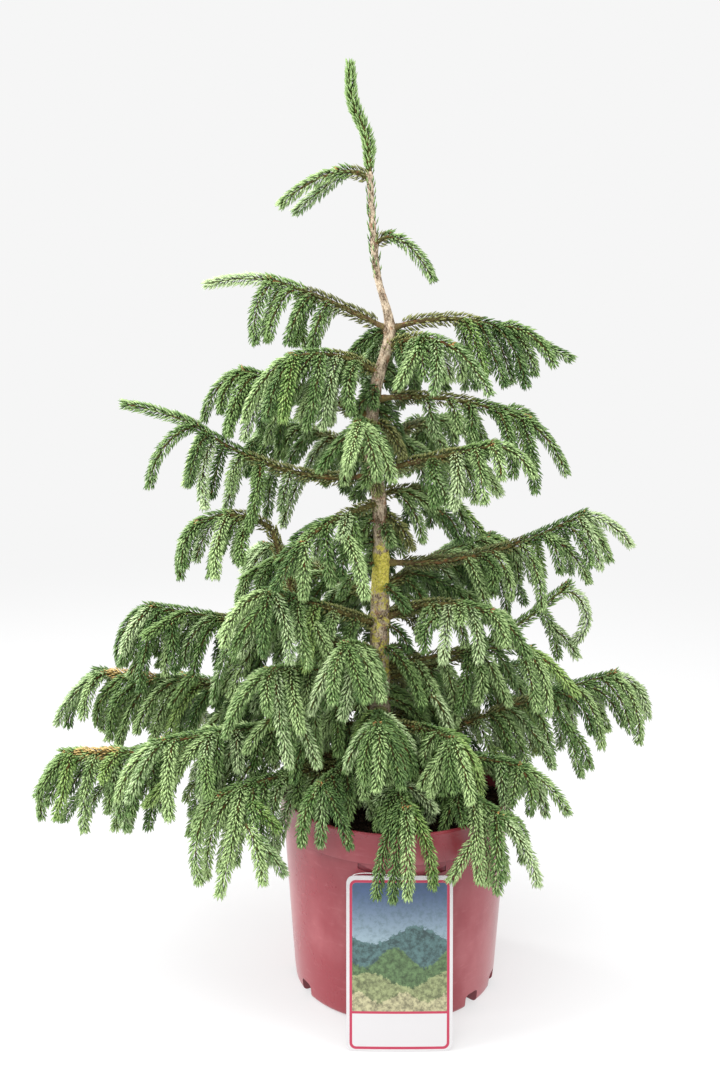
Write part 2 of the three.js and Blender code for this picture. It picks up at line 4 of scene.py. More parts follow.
import bpy
import numpy as np
from bpy.props import FloatProperty, FloatVectorProperty, IntProperty, PointerProperty
from mathutils import Euler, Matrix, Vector


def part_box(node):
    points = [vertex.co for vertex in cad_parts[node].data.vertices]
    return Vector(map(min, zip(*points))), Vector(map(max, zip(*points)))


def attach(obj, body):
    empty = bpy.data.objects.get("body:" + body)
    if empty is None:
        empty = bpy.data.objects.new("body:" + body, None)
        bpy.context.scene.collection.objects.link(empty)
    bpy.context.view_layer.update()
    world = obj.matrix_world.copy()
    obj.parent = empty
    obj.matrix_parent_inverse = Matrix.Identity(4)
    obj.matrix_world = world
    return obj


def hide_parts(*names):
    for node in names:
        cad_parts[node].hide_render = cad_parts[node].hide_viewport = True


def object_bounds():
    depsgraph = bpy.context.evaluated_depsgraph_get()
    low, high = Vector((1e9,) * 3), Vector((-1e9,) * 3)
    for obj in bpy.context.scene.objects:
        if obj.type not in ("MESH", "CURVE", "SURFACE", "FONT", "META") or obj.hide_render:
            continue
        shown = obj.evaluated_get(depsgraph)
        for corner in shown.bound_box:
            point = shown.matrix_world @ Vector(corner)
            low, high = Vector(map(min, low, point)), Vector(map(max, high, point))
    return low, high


bl_info = {
    "name": "Potted weeping spruce",
    "version": (1, 0, 0),
    "blender": (4, 5, 0),
    "location": "3D View > Sidebar > Spruce",
    "description": "Makes a young weeping spruce with its needles and bark, its pot of peat and its card",
    "category": "Add Mesh",
}

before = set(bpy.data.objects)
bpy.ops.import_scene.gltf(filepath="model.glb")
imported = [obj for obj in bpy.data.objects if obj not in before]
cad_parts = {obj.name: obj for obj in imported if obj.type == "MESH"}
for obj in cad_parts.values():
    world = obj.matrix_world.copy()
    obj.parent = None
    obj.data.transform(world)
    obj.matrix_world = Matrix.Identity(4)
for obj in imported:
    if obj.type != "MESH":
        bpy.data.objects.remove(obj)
CAD_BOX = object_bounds()

# Lengths are millimetres up to the meshes, which are in metres. Angles are degrees. The origin is
# the middle of the pot's flat underside, and headings run from +X towards +Y.
MM = 0.001

# The pot
POT_HEIGHT = 174
POT_FOOT_RADIUS = 86.5
POT_SHOULDER_RADIUS = 95
POT_FLARE = POT_SHOULDER_RADIUS - POT_FOOT_RADIUS
POT_RIM_RADIUS = 98.5
POT_BAND_HEIGHT = 27
POT_SHOULDER = POT_HEIGHT - POT_BAND_HEIGHT
POT_WALL = 2.2
POT_FLOOR = 17
POT_EDGE_ROUND = 5
POT_EDGE_STEPS = 6
POT_SIDES = 144
POT_SHARP_ANGLE = 28
# The ring that the pot stands on, the slope inside it, and the height of the underside within
POT_RING_WIDTH = 22
POT_RING_SLOPE = 2
POT_RECESS = 1.6
# Heights of the outline's corners on the wall, and the gap up to the band
POT_WALL_HEIGHTS = (12, 13, 13.6, 40, 80, 120)
POT_BAND_GAP = 0.6
POT_BAND_STEP = 0.5
# Corners of the band, how far inside the rim's radius and how far over the shoulder
POT_BAND_CORNERS = ((1.3, 0.5), (0.9, 1.6), (0.6, 12))
# Corners of the lip, how far inside the rim's radius and how far under the top
POT_LIP_CORNERS = (
    (0.5, 3.4), (0.1, 2.4), (0, 1.2), (0.25, 0.35), (0.8, 0), (POT_WALL - 0.5, 0), (POT_WALL, 0.5),
)
# The inside of the band: how far inside the wall and over the shoulder, and how far under it the wall starts
POT_INNER_BAND = (1.2, 1)
POT_INNER_DROP = 3
NOTCH_HEIGHT = 13
NOTCH_WIDTH = 15
NOTCH_DEPTH = 16
NOTCH_SPLIT = 25
NOTCH_PAIRS = (-31, 90, 197)
NOTCH_ROUND = 3.5
NOTCH_ROUND_STEPS = 5
NOTCH_BELOW = 4
# Each hollow under the rim: its outer and inner end across the front, its low edge and its high edge
HOLLOWS = ((-32, -7, 135.5, 146), (38, 14, 135, 142.5))
HOLLOW_RISE = 5
HOLLOW_DEPTH = 0.9
HOLLOW_LOW_SHARE = 0.25
HOLLOW_OUTSIDE = 12

# The peat
SOIL_LEVEL = 157
SOIL_DOME = 3
SOIL_RADIUS = 94.4
SOIL_KNEE = 140
SOIL_SIDES = 150
SOIL_RINGS = 60
SOIL_RING_ROOM = 1.5
LUMPS_FROM = 150
LUMPS_FULL_AFTER = 4
LUMP_HEIGHT = 4.2
# Cell and seed of the broad and of the small lumps
LUMP_NOISES = ((7, 3), (3, 4))
SMALL_LUMP_SHARE = 0.6
SOIL_LIFT = 0.8
CRUMB_COUNT = 900
CRUMB_SEED = 41
CRUMB_LIFT = 1.4
CRUMB_LENGTH = 4
CRUMB_WIDTH = 1.2
# Share of the bed's area inside the nearest and the furthest crumb, and how upright crumbs lie
CRUMB_AREA = (0.02, 0.94)
CRUMB_UPRIGHT = 0.35
CRUMB_SIZES = (0.4, 1.5)
CRUMB_SIZE_POWER = 1.5

# The card
CARD_WIDTH = 84
CARD_HEIGHT = 140
CARD_THICK = 0.8
CARD_CORNER = 6
CARD_CORNER_STEPS = 9
CARD_ROWS = 34
CARD_COLUMNS = 29
CARD_HOLE_RADIUS = 2.2
CARD_HOLE_DROP = 5.5
CARD_HOLE_SIDES = 20
CARD_HOLE_CUT = (-3, 6)
CARD_OFFSET = 1
CARD_LIFT = 0.6
CARD_LEAN = 11
CARD_ROOM = 4
CARD_BOW = 1.1
CARD_BELLY = 0.6
CARD_SHARP_ANGLE = 40
THREAD_RADIUS = 0.32
THREAD_STEPS = 90
THREAD_SIDES = 8
# The thread comes out of the hole, over the card's top edge and away to the left behind the card
THREAD_POINTS = (
    (-1.0, -99.8, 128), (0.6, -101.8, 131), (-0.5, -101.4, 137.2), (-3, -98.6, 139.2), (-9, -97.0, 139.6),
    (-18, -95.6, 140), (-28, -92.8, 138.8), (-35, -90.2, 136), (-38, -88.9, 131),
)

# The wood
CLEAR = 0.3
TRUNK_TOP = 676
BOUGH_STEPS = 5
BOUGH_TAPER = 0.6
HEAD_LIFT = 0.7
BOUGH_END_SHARE = 0.95
WOOD_START_SHARE = 0.1
TRUNK_FLARE = 3.5
FLARE_HEIGHT = 14
# Height and offset of each bend, and height and girth where the trunk's taper changes
TRUNK_BENDS = (
    (157, -12), (290, -14), (410, -14), (469, -21), (510, -18), (557, -7), (600, -17), (676, -23),
)
TRUNK_GIRTHS = ((157, 19), (336, 15.6), (390, 12.4), (500, 10), (557, 8.4), (580, 6), (676, 4.4))
LEADER_BENDS = ((676, -23), (700, -25), (728, -36), (756, -38))

# The needle-clad shoots. A pair is a first value and the most that a draw adds to it or, below 0,
# takes from it.
NEEDLE_REACH = 7.5
STEM_CORE = 2.2
STEM_REACH = 4.4
PATH_STEPS = 5
ROOT_SINK = 0.7
STEM_END = 0.96
ROOT_ROOM = 5
# The gap to another mass, the share of both reaches to the own mass, and from where on a shoot that
# share is kept
SPACING = 0.9
OWN_ROOM = 0.75
ROOT_SHARE = 0.45
SET_OFF_PITCH = (-2, -20)
HANG_PITCH = -86
HANG_SPREAD = 16
FAN = 62
FAN_SHARE = (0.7, 0.5)
LENGTH_SHARE = (0.82, 0.34)
PLACE_SPREAD = 0.7
BOUGH_FIRST_SHARE = 0.06
SWAY = 5
SWAY_FULL_REACH = 100
SWAY_SEED = 100
SHOOT_SEED = 1000
TURNS = (0, 20, -20, 40, -40, 60)
SIZES = (1, 0.8, 0.64)
SEED_STEP = 0x6D2B79F5
SEED_SHIFTS = (15, 7, 14)
SEED_ODD = 61
WORD = 0xFFFFFFFF

# The finer shoots that the same rule adds among them
FINER_SEED = 3000
FINER_REACH = 6
FINER_SIZES = (1, 0.8, 0.64, 0.5, 0.4)
# The share of both reaches to another mass, the same in a full mass, and to the own mass
FINER_ROOM = 0.84
FULL_ROOM = 0.74
FINER_OWN_ROOM = 0.7
# How many there are for each of the limb's own shoots, on low and on high limbs, and what is low
FINER_LOW = 2.0
FINER_HIGH = 1.3
FINER_LOW_TOP = 350
FINER_FIRST = 0.26
FINER_PLACE_SPREAD = 0.9
FINER_FAN_SHARE = (0.15, 1.1)
FINER_LENGTH_SHARE = (0.74, 0.44)
FINER_PITCH = (46, -62)
FINER_HANG_SPREAD = 26
# The whorl at a stem's end
WHORL_TURNS = (34, -34, 70, -70)
WHORL_SWAY = 16
WHORL_PITCH = (14, -34)
WHORL_HANG_SPREAD = 20
WHORL_LENGTH_SHARE = (0.74, 0.4)
# The side stems and their own shoots
SIDE_STEMS = (0.15, 0.35, 0.55, 0.75)
SIDE_FAN = (46, 22)
SIDE_LENGTH_SHARE = (0.34, 0.2)
SIDE_SHORTER_OUTWARDS = 0.35
SIDE_PITCH_FROM = (10, -18)
SIDE_PITCH_TO = (-24, -26)
SIDE_SHOOTS = 4
SIDE_SHOOT_PLACE = 0.7
SIDE_SHOOT_TURN = (24, 40)
SIDE_SHOOT_PITCH = (-6, -30)
SIDE_SHOOT_HANG_SPREAD = 18
SIDE_SHOOT_LENGTH_SHARE = (0.66, 0.45)
# The laterals of single shoots: the chance of one, and the places on a shoot where it may stand
LATERAL_SHARE = 0.62
LATERAL_MOST = 1.6
LATERAL_FROM = 0.08
LATERAL_SPAN = 0.42
FULL_LATERAL_SPAN = 0.8
LATERAL_REACH = 1.15
LATERAL_FAN = (34, 26)
LATERAL_LENGTH_SHARE = (0.6, 0.35)
LATERAL_PITCH_SHARE = 0.5
LATERAL_RISE = 14
LATERAL_PITCH_MOST = -40
# The trunk's sprigs: lowest and highest place, how many are tried, least length and its spread, and
# the first heading and the range of headings that they turn through
INNER_SEED = 4000
INNER_SPRIGS = (
    (172, 300, 150, 48, 38, 0, 360),
    (300, 392, 16, 26, 20, -50, 280),
    (392, 566, 60, 24, 26, 0, 360),
    (270, 560, 46, 62, 46, 40, 100),
)
INNER_TURN_SPREAD = 30
INNER_ROOT_SHARE = 0.8
INNER_PITCH_FROM = (24, -30)
INNER_PITCH_TO = (-50, -34)
GOLDEN_ANGLE = 137.508
# How far finer shoots may leave their mass's box at its sides, its top and its foot, which they leave
# only where it is high enough over the floor
SIDE_ROOM = 6
TOP_ROOM = 12
LOW_TOP_ROOM = 24
FALL_ROOM = 16
FALL_FREE_HEIGHT = 125
FALL_FULL_HEIGHT = 175
# What already stands somewhere is kept as balls, with the number of its limb or one of these owners.
# Balls further away than the far room are never too near.
BALLS = 40000
BALL_STEP = 5
FAR_ROOM = 24
TRUNK_OWNER, LEADER_OWNER, BOUGH_OWNER = -1, -2, -3
# The slight bend that each grown shoot takes: how far its tip strays sideways and outwards, how far
# its middle strays, all for a shoot of the usual length, and where it is tested against pot and card
BEND_SEED = 6000
BEND_SIDE = 8
BEND_OUT = 7
BEND_BELLY = 3
BEND_LENGTH = 60
BEND_TEST_FROM = 0.1
BEND_TESTS = 12

# Each limb: its name, the height of its foot on the trunk, its heading and reach, the height of its tip,
# its arch, how much of it is bare, its girth, how many shoots hang from it, their length, the pitch of
# its last shoot, and how full its finer growth is. Those well under 1 end in single long shoots.
LIMB_FIELDS = (
    "name", "rise", "heading", "reach", "tip", "arch", "bare", "girth", "shoots", "hang", "end", "fullness",
)
LIMB_ROWS = (
    ("top_left", 671, 178, 24, 676, 2, 0, 4.4, 1, 58, -38, 0),
    ("high_right", 622, -12, 12, 628, 1, 0, 4.4, 0, 50, -74, 0),
    ("upper_left", 556, 173, 96, 595, 3, 0.34, 4.2, 8, 56, -14, 0.35),
    ("upper_right", 557, 8, 98, 554, 9, 0.4, 4.2, 8, 60, -26, 0.5),
    ("upper_right_front", 541, -34, 62, 546, 8, 0, 4.4, 6, 52, -56, 0.8),
    ("upper_left_front", 522, 206, 76, 538, 8, 0, 4.4, 8, 68, -66, 1),
    ("upper_back", 538, 82, 88, 548, 8, 0, 4.4, 6, 54, -55, 1.4),
    ("left_arch", 487, 168, 108, 522, 2, 0.36, 4.6, 6, 58, -80, 0.7),
    ("right", 502, -10, 122, 488, 8, 0.24, 4.6, 9, 58, -66, 0.8),
    ("right_front", 444, -30, 105, 474, 0, 0.4, 4.8, 6, 46, -54, 0.8),
    ("right_behind", 424, 35, 80, 408, 8, 0, 4.4, 5, 44, -60, 0.6),
    ("front_upper", 476, 258, 54, 490, 3, 0, 4.4, 5, 48, -50, 0.6),
    ("left", 441, 179, 148, 483, -17, 0.32, 5, 9, 62, 10, 0.3),
    ("back_right", 462, 52, 122, 474, 6, 0, 4.4, 5, 54, -55, 1.6),
    ("back_left", 452, 132, 130, 470, 6, 0, 4.4, 5, 54, -55, 1.6),
    ("long_right", 369, 8, 172, 404, -14, 0.36, 5.4, 9, 54, -60, 0.6),
    ("left_front_mid", 418, 224, 86, 396, 5, 0, 4.4, 6, 48, -48, 1),
    ("left_riser", 254, 188, 88, 398, -44, 1, 6.4, 9, 52, -84, 0.8),
    ("mid_back_right", 346, 50, 162, 362, 4, 0, 4.4, 6, 56, -55, 1.6),
    ("mid_back_left", 336, 128, 172, 350, 4, 0, 4.4, 6, 56, -55, 1.6),
    ("right_mid_front", 318, -24, 98, 337, 11, 0.34, 5, 6, 50, -66, 0.9),
    ("right_mid", 276, -6, 124, 298, 6, 0, 4.4, 7, 58, -66, 0.9),
    ("right_curl", 268, 5, 158, 346, -16, 0, 4.4, 4, 64, -130, 0.15),
    ("left_mid", 290, 180, 192, 331, 2, 0.34, 5.6, 10, 66, -84, 2.2),
    ("left_front", 314, 214, 108, 360, 2, 0, 4.4, 10, 66, -60, 1),
    ("left_front_low", 262, 218, 112, 298, 6, 0, 4.4, 10, 70, -70, 1.8),
    ("front_mid", 284, 250, 84, 322, 5, 0, 4.4, 7, 58, -58, 1),
    ("right_low", 200, 10, 206, 260, 3, 0.34, 6, 11, 68, -70, 0.8),
    ("left_low", 238, 175, 242, 267, 3, 0.34, 6, 11, 64, -86, 2.4),
    ("left_lowest", 196, 191, 262, 222, 4, 0.36, 6, 9, 64, -92, 1.6),
    ("left_front_far", 226, 205, 196, 244, 6, 0, 4.4, 10, 62, -66, 2.4),
    ("left_front_lowest", 188, 217, 164, 206, 9, 0, 4.4, 9, 74, -80, 1),
    ("right_front_low", 196, -24, 126, 210, 7, 0, 4.4, 8, 60, -50, 1.3),
    ("right_front_lowest", 182, -44, 132, 184, 12, 0, 4.4, 7, 66, -66, 1.4),
    ("front_low", 236, 268, 92, 262, 5, 0, 4.4, 8, 60, -64, 1.7),
    ("front_right_low", 226, -56, 100, 246, 5, 0, 4.4, 8, 58, -64, 1.8),
    ("front_left_low", 198, 243, 110, 214, 6, 0, 4.4, 6, 52, -76, 2.2),
    ("front_lowest", 186, 280, 108, 198, 8, 0, 4.4, 7, 72, -78, 2.4),
    ("low_back_right", 230, 38, 190, 246, 5, 0, 4.4, 6, 60, -60, 1.6),
    ("low_back", 206, 72, 186, 226, 5, 0, 4.4, 6, 60, -60, 1.6),
    ("low_back_left", 248, 106, 192, 252, 6, 0, 4.4, 6, 60, -60, 1.6),
    ("lowest_back_left", 208, 146, 226, 228, 6, 0, 4.4, 7, 60, -60, 1.6),
)
# Where a limb's shoots start, how they fan out or how steeply they hang, where that differs from the
# rest, and the head that one bare limb carries on its top
LIMB_EXTRAS = dict(
    top_left=dict(fan=30, droop=-36),
    left_riser=dict(head=dict(heading=186, reach=60, climb=5, arch=9)),
    left_front=dict(droop=-78),
    left_front_lowest=dict(first=0.66, fan=48),
    right_front_low=dict(first=0.3),
    right_front_lowest=dict(first=0.76, fan=48),
    front_left_low=dict(first=0.5, fan=44),
    front_lowest=dict(first=0.8, fan=52),
)

DEGREE = math.pi / 180
AHEAD_STEP = 1e-4
LENGTH_SAMPLES = 201
FINE_SAMPLES = 200
LINE_STEPS = 60
STEM_LINE_STEPS = 50
SHOOT_LINE_STEPS = 30
TRUNK_LINE_STEPS = 300


# The seeded rule that the boughs, twigs and shoots grow by
def times(a, b):
    return (a * b) & WORD


def seeded(seed):
    """The same row of numbers from 0 to 1 for the same seed."""
    state = seed & WORD
    first, second, third = SEED_SHIFTS

    def draw():
        nonlocal state
        state = (state + SEED_STEP) & WORD
        mixed = times(state ^ (state >> first), state | 1)
        mixed ^= (mixed + times(mixed ^ (mixed >> second), mixed | SEED_ODD)) & WORD
        return (mixed ^ (mixed >> third)) / (WORD + 1)

    return draw


def drawn(pair, draw):
    """The first value of a pair, with a drawn share of the second added."""
    return pair[0] + pair[1] * draw()


def side_of(index):
    """Shoots stand on the one side and the other in turn."""
    return 1 if index % 2 else -1


def between(pairs, x):
    return np.interp(x, [pair[0] for pair in pairs], [pair[1] for pair in pairs])


def direction(heading, pitch):
    flat = math.cos(pitch * DEGREE)
    return np.array((
        math.cos(heading * DEGREE) * flat,
        math.sin(heading * DEGREE) * flat,
        math.sin(pitch * DEGREE),
    ))


def unit(vectors):
    size = np.linalg.norm(vectors, axis=-1, keepdims=True)
    return vectors / np.where(size > 0, size, 1)


class Path:
    """A smooth line through a few points, read by the share of its points."""

    def __init__(self, points):
        p = np.asarray(points, float)
        whole = np.vstack([2 * p[0] - p[1], p, 2 * p[-1] - p[-2]])
        x0, x1, x2, x3 = whole[:-3], whole[1:-2], whole[2:-1], whole[3:]
        d0, d1, d2 = (
            np.sqrt(np.linalg.norm(b - a, axis=1, keepdims=True)) for a, b in ((x0, x1), (x1, x2), (x2, x3))
        )
        t1 = ((x1 - x0) / d0 - (x2 - x0) / (d0 + d1) + (x2 - x1) / d1) * d1
        t2 = ((x2 - x1) / d1 - (x3 - x1) / (d1 + d2) + (x3 - x2) / d2) * d1
        self.terms = np.stack([x1, t1, -3 * x1 + 3 * x2 - 2 * t1 - t2, 2 * x1 - 2 * x2 + t1 + t2])
        self.spans = len(p) - 1

    def at(self, shares):
        place = np.atleast_1d(shares) * self.spans
        span = np.clip(np.floor(place), 0, self.spans - 1).astype(int)
        rest = (place - span)[:, None]
        a, b, c, d = self.terms[:, span]
        return a + rest * (b + rest * (c + rest * d))

    def ahead(self, share):
        ends = self.at(np.clip([share - AHEAD_STEP, share + AHEAD_STEP], 0, 1))
        return unit(ends[1] - ends[0])

    def length(self):
        points = self.at(np.linspace(0, 1, LENGTH_SAMPLES))
        return np.linalg.norm(np.diff(points, axis=0), axis=1).sum()


class Line:
    """A path read by its distance along, with the ways to its side and to its top at each place."""

    def __init__(self, path, side, start=0, end=1, steps=LINE_STEPS):
        fine = path.at(np.linspace(start, end, FINE_SAMPLES))
        run = np.concatenate([[0], np.cumsum(np.linalg.norm(np.diff(fine, axis=0), axis=1))])
        self.length = run[-1]
        self.run = np.linspace(0, self.length, steps)
        self.middle = np.stack([np.interp(self.run, run, fine[:, k]) for k in range(3)], 1)
        self.ahead = unit(np.gradient(self.middle, axis=0))
        side = np.asarray(side, float)
        self.side = unit(side - self.ahead * (self.ahead @ side)[:, None])
        self.top = np.cross(self.ahead, self.side)

    def read(self, along):
        return [
            np.stack([np.interp(along, self.run, values[:, k]) for k in range(3)], 1)
            for values in (self.middle, self.ahead, self.side, self.top)
        ]


def trunk_radius(height):
    flare = TRUNK_FLARE * np.maximum(0, 1 - (height - SOIL_LEVEL) / FLARE_HEIGHT) ** 2
    return between(TRUNK_GIRTHS, height) / 2 + flare


def trunk_points():
    points = [[offset, 0, height] for height, offset in TRUNK_BENDS]
    points[0][2] += CLEAR
    return points


def leader_points():
    points = np.array([[offset, 0, height] for height, offset in LEADER_BENDS], float)
    points[0] += unit(points[1] - points[0]) * CLEAR
    return points


def limb_point(limb, share):
    out = direction(limb["heading"], 0)
    side = direction(limb["heading"] + 90, 0)
    point = np.array((between(TRUNK_BENDS, limb["rise"]), 0, limb["rise"]), float)
    point += out * limb["reach"] * share + side * limb["sway"] * math.sin(2 * math.pi * share)
    point[2] += (limb["tip"] - limb["rise"]) * share + 4 * limb["arch"] * share * (1 - share)
    return point


def limb_points(limb, start, end, steps):
    return np.array([limb_point(limb, start + (end - start) * i / steps) for i in range(steps + 1)])


def stem_points(limb):
    head = limb.get("head")
    if not head:
        return limb_points(limb, limb["bare"], 1, PATH_STEPS)
    foot = limb_point(limb, 1)
    foot += unit(foot - limb_point(limb, BOUGH_END_SHARE)) * STEM_CORE * HEAD_LIFT
    points = []
    for i in range(PATH_STEPS + 1):
        share = i / PATH_STEPS
        point = foot + direction(head["heading"], 0) * head["reach"] * share
        point[2] += head["climb"] * share + 4 * head["arch"] * share * (1 - share)
        points.append(point)
    return np.array(points)


def shoot_points(start, heading, pitch_from, pitch_to, length):
    points = [start - direction(heading, pitch_from) * ROOT_SINK]
    for i in range(PATH_STEPS):
        pitch = pitch_from + (pitch_to - pitch_from) * math.sqrt((i + 0.5) / PATH_STEPS)
        points.append(points[-1] + direction(heading, pitch) * length / PATH_STEPS)
    return np.array(points)


def heading_of(vector):
    return math.atan2(vector[1], vector[0]) / DEGREE


def pitch_of(vector):
    return math.atan2(vector[2], math.hypot(vector[0], vector[1])) / DEGREE


class Taken:
    """What already stands somewhere, as balls along each axis."""

    def __init__(self):
        self.count = 0
        self.owner = np.zeros(BALLS, int)
        self.middle = np.zeros((BALLS, 3))
        self.radius = np.zeros(BALLS)

    def take(self, owner, points, radius):
        path = Path(points)
        count = math.ceil(path.length() / BALL_STEP)
        shares = np.arange(count + 1) / count
        new = slice(self.count, self.count + count + 1)
        self.owner[new] = owner
        self.middle[new] = path.at(shares)
        self.radius[new] = radius(shares)
        self.count += count + 1

    def is_clear(self, owner, points, radius, spacing=SPACING, own_room=OWN_ROOM, room_share=1.0):
        path = Path(points)
        count = math.ceil(path.length() / BALL_STEP)
        shares = np.arange(1, count + 1) / count
        middles = path.at(shares)
        if hits_pot(middles, radius + spacing).any() or hits_card(middles, radius + spacing).any():
            return False
        low, high = middles.min(axis=0) - FAR_ROOM, middles.max(axis=0) + FAR_ROOM
        placed = self.middle[:self.count]
        others = np.flatnonzero(((placed > low) & (placed < high)).all(axis=1))
        own = self.owner[others] == owner
        reach = radius + self.radius[others]
        room = np.where(own, own_room * reach, room_share * (reach + spacing))
        apart = middles[:, None, :] - placed[None, others]
        near = np.einsum("ijk,ijk->ij", apart, apart) < room * room
        near[:, own] &= (shares >= ROOT_SHARE)[:, None]
        return not near.any()


def hits_pot(points, radius):
    out = np.hypot(points[:, 0], points[:, 1])
    inside = (out < POT_RIM_RADIUS - POT_WALL - radius) & (points[:, 2] > SOIL_LEVEL + SOIL_DOME + radius)
    return (points[:, 2] <= POT_HEIGHT + radius) & ~inside & (out < POT_RIM_RADIUS + radius)


def hits_card(points, radius):
    lean = math.tan(CARD_LEAN * DEGREE)
    behind = points[:, 1] + POT_SHOULDER_RADIUS + CARD_ROOM + (CARD_HEIGHT - points[:, 2]) * lean
    beside = np.abs(points[:, 0] - CARD_OFFSET) > CARD_WIDTH / 2 + radius
    return ~beside & (points[:, 2] < CARD_HEIGHT + radius) & (behind > -radius)


def grow_shoots(limb, index, taken):
    """The shoots of one mass, just as its solid has them."""
    draw = seeded(SHOOT_SEED + index)
    stem = Path(limb["stem"])
    shoots = []

    def place(share, turn, pitch_from, pitch_to, length):
        start = stem.at(share)[0]
        heading = heading_of(stem.ahead(share))
        for extra in TURNS:
            for size in SIZES:
                points = shoot_points(start, heading + turn + extra, pitch_from, pitch_to, length * size)
                if not taken.is_clear(index, points, NEEDLE_REACH):
                    continue
                taken.take(index, points, lambda shares: NEEDLE_REACH)
                shoots.append(dict(
                    points=points, heading=heading + turn + extra, length=length * size,
                    pitch_to=pitch_to, out=share, kind="main",
                ))
                return

    place(STEM_END, 0, pitch_of(stem.ahead(1)), limb["end"], limb["hang"])
    clear_of_trunk = (trunk_radius(limb["rise"]) + ROOT_ROOM) / limb["reach"]
    first = limb.get("first", BOUGH_FIRST_SHARE if limb["bare"] > 0 else clear_of_trunk)
    fan = limb.get("fan", FAN)
    droop = limb.get("droop", HANG_PITCH)
    for i in range(limb["shoots"]):
        along = (i + 0.5 + PLACE_SPREAD * (draw() - 0.5)) / limb["shoots"]
        turn = side_of(i) * fan * drawn(FAN_SHARE, draw)
        length = limb["hang"] * drawn(LENGTH_SHARE, draw)
        pitch_from = drawn(SET_OFF_PITCH, draw)
        pitch_to = droop + HANG_SPREAD * draw()
        place(first + (STEM_END - first) * along, turn, pitch_from, pitch_to, length)
    limb["first_share"] = first
    return shoots


def finer_space(limb):
    """The space that the finer shoots of a mass keep to: its own, a little wider, in the crown's."""
    low, high = (np.array(corner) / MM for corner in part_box("foliage_" + limb["name"]))
    fall = FALL_ROOM * np.interp(low[2], (FALL_FREE_HEIGHT, FALL_FULL_HEIGHT), (0, 1))
    low = low - (SIDE_ROOM, SIDE_ROOM, fall) + NEEDLE_REACH
    top = LOW_TOP_ROOM if limb["tip"] < FINER_LOW_TOP else TOP_ROOM
    high = high + (SIDE_ROOM, SIDE_ROOM, top) - NEEDLE_REACH
    crown_low, crown_high = (np.array(corner) / MM for corner in CAD_BOX)
    return np.maximum(low, crown_low + NEEDLE_REACH), np.minimum(high, crown_high - NEEDLE_REACH)


